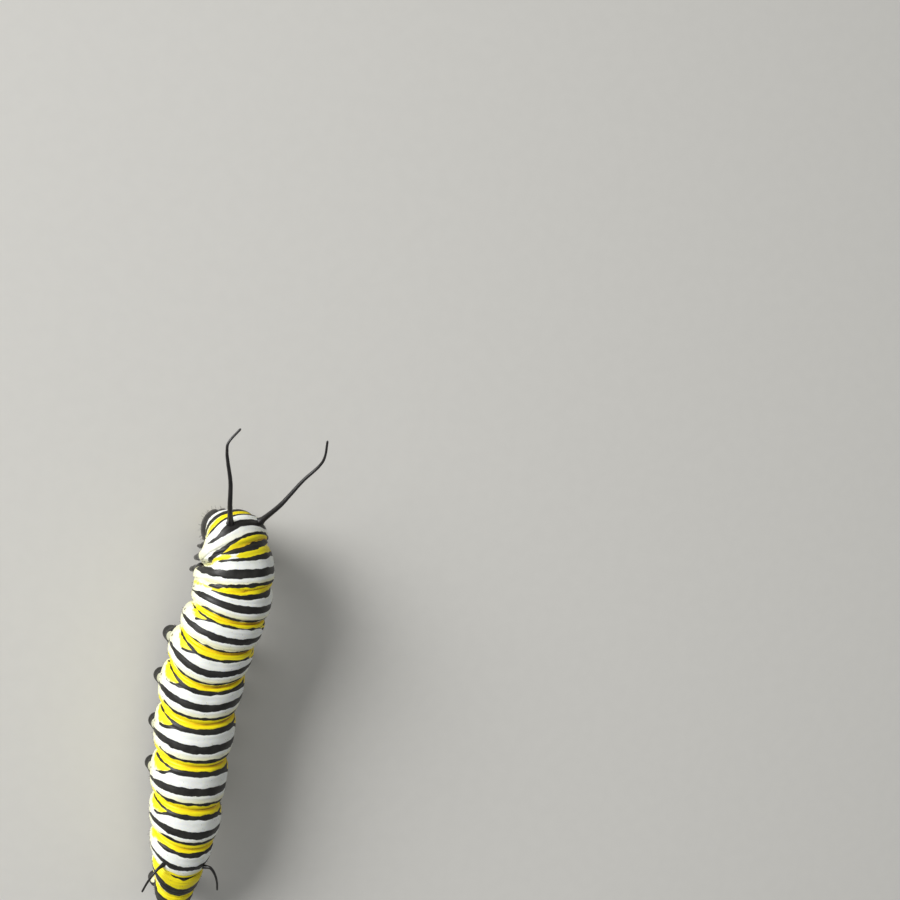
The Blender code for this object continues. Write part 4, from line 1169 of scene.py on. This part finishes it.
class LARVA_OT_breathing_holes(bpy.types.Operator):
    """A rimmed oval hole on each side of nine segments."""

    bl_idname = "larva.breathing_holes"
    bl_label = "Breathing holes"

    def execute(self, context):
        s = np.repeat(np.array(HOLE_SEGMENTS, float) + HOLE_PLACE - BEFORE, 2)
        theta = np.tile(np.radians((-HOLE_ANGLE, HOLE_ANGLE)), len(HOLE_SEGMENTS))
        place, out, along = skin_frame(s, theta)
        size = np.where(s < 1, 0.8, 1.0)[:, None]  # smaller on the first segment
        frames = np.stack([
            way * length * size for way, length in zip((along, np.cross(out, along), out), HOLE_SIZE)
        ], -1)
        part = scatter(lathe(*np.array(HOLE_PROFILE).T, 24), place, frames)
        add_piece("breathing_holes", [part], dark_finish("rim_cuticle"))
        return {"FINISHED"}


HEAD_BRISTLES = 90


class BristleSettings(bpy.types.PropertyGroup):
    """Number and size of the bristles."""

    count: bpy.props.IntProperty(
        name="Count", description="Bristles on the skin", default=1500, min=0, max=5000)
    length: length_property("Length", "Length of an average bristle", 0.00012, 0.00005)


class LARVA_OT_bristles(bpy.types.Operator):
    """Short sparse bristles over the skin, longer low on the sides and on the head."""

    bl_idname = "larva.bristles"
    bl_label = "Bristles"

    def execute(self, context):
        settings = context.scene.larva_bristles
        draw = np.random.default_rng(41)
        count = settings.count
        s = draw.uniform(-BEFORE + 0.1, LAST + 0.4, count)
        theta = np.radians(draw.uniform(-128, 128, count))
        place, out, along = skin_frame(s, theta)
        longer = 1 + 0.8 * smooth(np.abs(np.degrees(theta)), 95, 125)
        length = settings.length / MM * draw.uniform(0.6, 1.5, count) * longer
        lean = unit(out + 0.45 * along + draw.normal(0, 0.22, (count, 3)))
        head_down = np.arccos(draw.uniform(0.05, 0.97, HEAD_BRISTLES))
        head_turn = draw.uniform(0, 2 * np.pi, HEAD_BRISTLES)
        head_place = in_head(head_rings(head_down, head_turn)[0])
        head_out = unit(head_place - HEAD_PLACE + draw.normal(0, 0.3, (HEAD_BRISTLES, 3)))
        place = np.concatenate([place - 0.04 * out, head_place - 0.03 * head_out])
        lean = np.concatenate([lean, head_out])
        length = np.concatenate([length, draw.uniform(0.15, 0.4, HEAD_BRISTLES)])
        side = unit(np.cross(lean, (0.3, 0.5, 0.81)))
        width = (0.0045 + 0.006 * length)[:, None]
        frames = np.stack([side * width, np.cross(lean, side) * width, lean * length[:, None]], -1)
        bend = np.linspace(0, 1, 4)
        path = np.stack([3.0 * bend**2, 0 * bend, bend], -1)
        template = tube(path, np.array((1.0, 0.75, 0.45, 0.08)), 4)
        add_piece("bristles", [scatter(template, place, frames)], dark_finish("bristle"))
        return {"FINISHED"}


# Stage

class StageSettings(bpy.types.PropertyGroup):
    """Floor, light and camera."""

    floor: colour_property("Floor", "Colour of the floor", "#dcdad4")
    key_power: bpy.props.FloatProperty(
        name="Key light", description="Power of the large lamp", unit="POWER", default=0.64, min=0)
    fill: bpy.props.FloatProperty(
        name="Fill", description="Strength of the light from all round", default=0.33, min=0)
    lens: bpy.props.FloatProperty(
        name="Lens", description="Focal length on a 36 mm sensor", subtype="DISTANCE_CAMERA", default=62.77,
        min=10)


CAMERA_PLACE = (-35.65, 50.61, 149.64)
CAMERA_RIGHT, CAMERA_BACK = (0.9242, 0.1188, 0.3631), (-0.3734, 0.0802, 0.9242)
FLOOR_FLAT, FLOOR_CURVE, FLAT_RINGS, CURVE_RINGS, FLOOR_COLUMNS = 0.6, 0.35, 24, 16, 96  # radii in metres
KEY_WAY, KEY_REACH, KEY_SIZE = (-0.55, 0.4, 0.75), 0.55, 0.3  # the camera's right, up and back; metres
KEY_SPREAD = 65  # degrees: a grid on the lamp keeps its light off the floor right below it


class LARVA_OT_stage(bpy.types.Operator):
    """A pale floor that curves up far away, one large soft lamp, and the camera."""

    bl_idname = "larva.stage"
    bl_label = "Stage"

    def execute(self, context):
        settings, scene = context.scene.larva_stage, context.scene
        turn = np.linspace(0, np.pi / 2, CURVE_RINGS)[1:]
        flat = np.linspace(0.002, FLOOR_FLAT, FLAT_RINGS)
        radius = np.append(flat, FLOOR_FLAT + FLOOR_CURVE * np.sin(turn))
        height = np.append(np.zeros(FLAT_RINGS), FLOOR_CURVE * (1 - np.cos(turn)))
        points, quads, triangles = lathe(radius, height, FLOOR_COLUMNS)
        # The last point and its fan would close the top, which stays open.
        faces = quads.tolist() + triangles[:FLOOR_COLUMNS].tolist()
        mesh = bpy.data.meshes.new("floor")
        mesh.from_pydata(points[:-1].tolist(), [], faces)
        mesh.flip_normals()
        mesh.shade_smooth()
        mesh.materials.append(paper_finish(settings.floor))
        floor = bpy.data.objects.new("floor", mesh)
        scene.collection.objects.link(floor)

        right, back = unit(np.array(CAMERA_RIGHT)), unit(np.array(CAMERA_BACK))
        right = unit(right - (right @ back) * back)
        up = np.cross(back, right)
        camera_data = bpy.data.cameras.new("camera")
        camera_data.lens, camera_data.sensor_width = settings.lens, 36
        camera_data.clip_start, camera_data.clip_end = 0.005, 5
        camera = bpy.data.objects.new("camera", camera_data)
        turned = Matrix([list(row) for row in np.stack([right, up, back], -1)]).to_4x4()
        camera.matrix_world = Matrix.Translation((np.array(CAMERA_PLACE) + SHIFT) * MM) @ turned
        scene.collection.objects.link(camera)
        scene.camera = camera

        lamp_data = bpy.data.lights.new("key", "AREA")
        lamp_data.energy, lamp_data.size = settings.key_power, KEY_SIZE
        lamp_data.spread = np.radians(KEY_SPREAD)
        lamp = bpy.data.objects.new("key", lamp_data)
        way = Vector(KEY_WAY[0] * right + KEY_WAY[1] * up + KEY_WAY[2] * back).normalized()
        aim = way.to_track_quat("Z", "Y").to_matrix().to_4x4()
        lamp.matrix_world = Matrix.Translation(way * KEY_REACH) @ aim
        scene.collection.objects.link(lamp)

        world = bpy.data.worlds.new("studio")
        world.use_nodes = True
        sky = world.node_tree.nodes["Background"]
        sky.inputs["Color"].default_value = linear("#f2f4f6")
        sky.inputs["Strength"].default_value = settings.fill
        scene.world = world
        scene.view_settings.view_transform = "Standard"
        return {"FINISHED"}


class LARVA_PT_panel(bpy.types.Panel):
    """Lists the pieces of the larva and their settings."""

    bl_label = "Monarch larva"
    bl_idname = "LARVA_PT_panel"
    bl_space_type = "VIEW_3D"
    bl_region_type = "UI"
    bl_category = "Larva"

    def draw(self, context):
        for operator in PIECES:
            self.layout.operator(operator.bl_idname)
        for group, settings in SETTINGS.items():
            box = self.layout.box()
            for name in settings.__annotations__:
                box.prop(getattr(context.scene, group), name)


PIECES = (LARVA_OT_skin, LARVA_OT_head, LARVA_OT_mouthparts, LARVA_OT_eyes, LARVA_OT_legs, LARVA_OT_feelers,
          LARVA_OT_hooks, LARVA_OT_breathing_holes, LARVA_OT_bristles, LARVA_OT_stage)
SETTINGS = {"larva_skin": SkinSettings, "larva_head": HeadSettings, "larva_bristles": BristleSettings,
            "larva_stage": StageSettings}


def register():
    for one in (*SETTINGS.values(), *PIECES, LARVA_PT_panel):
        bpy.utils.register_class(one)
    for group, settings in SETTINGS.items():
        setattr(bpy.types.Scene, group, bpy.props.PointerProperty(type=settings))


def unregister():
    for group in SETTINGS:
        delattr(bpy.types.Scene, group)
    for one in reversed((*SETTINGS.values(), *PIECES, LARVA_PT_panel)):
        bpy.utils.unregister_class(one)


def main():
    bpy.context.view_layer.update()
    register()
    for startup in ("Cube", "Light", "Camera"):
        if startup in bpy.data.objects:
            bpy.data.objects.remove(bpy.data.objects[startup])
    for operator in PIECES:
        group, name = operator.bl_idname.split(".")
        getattr(getattr(bpy.ops, group), name)()


if __name__ == "__main__":
    main()
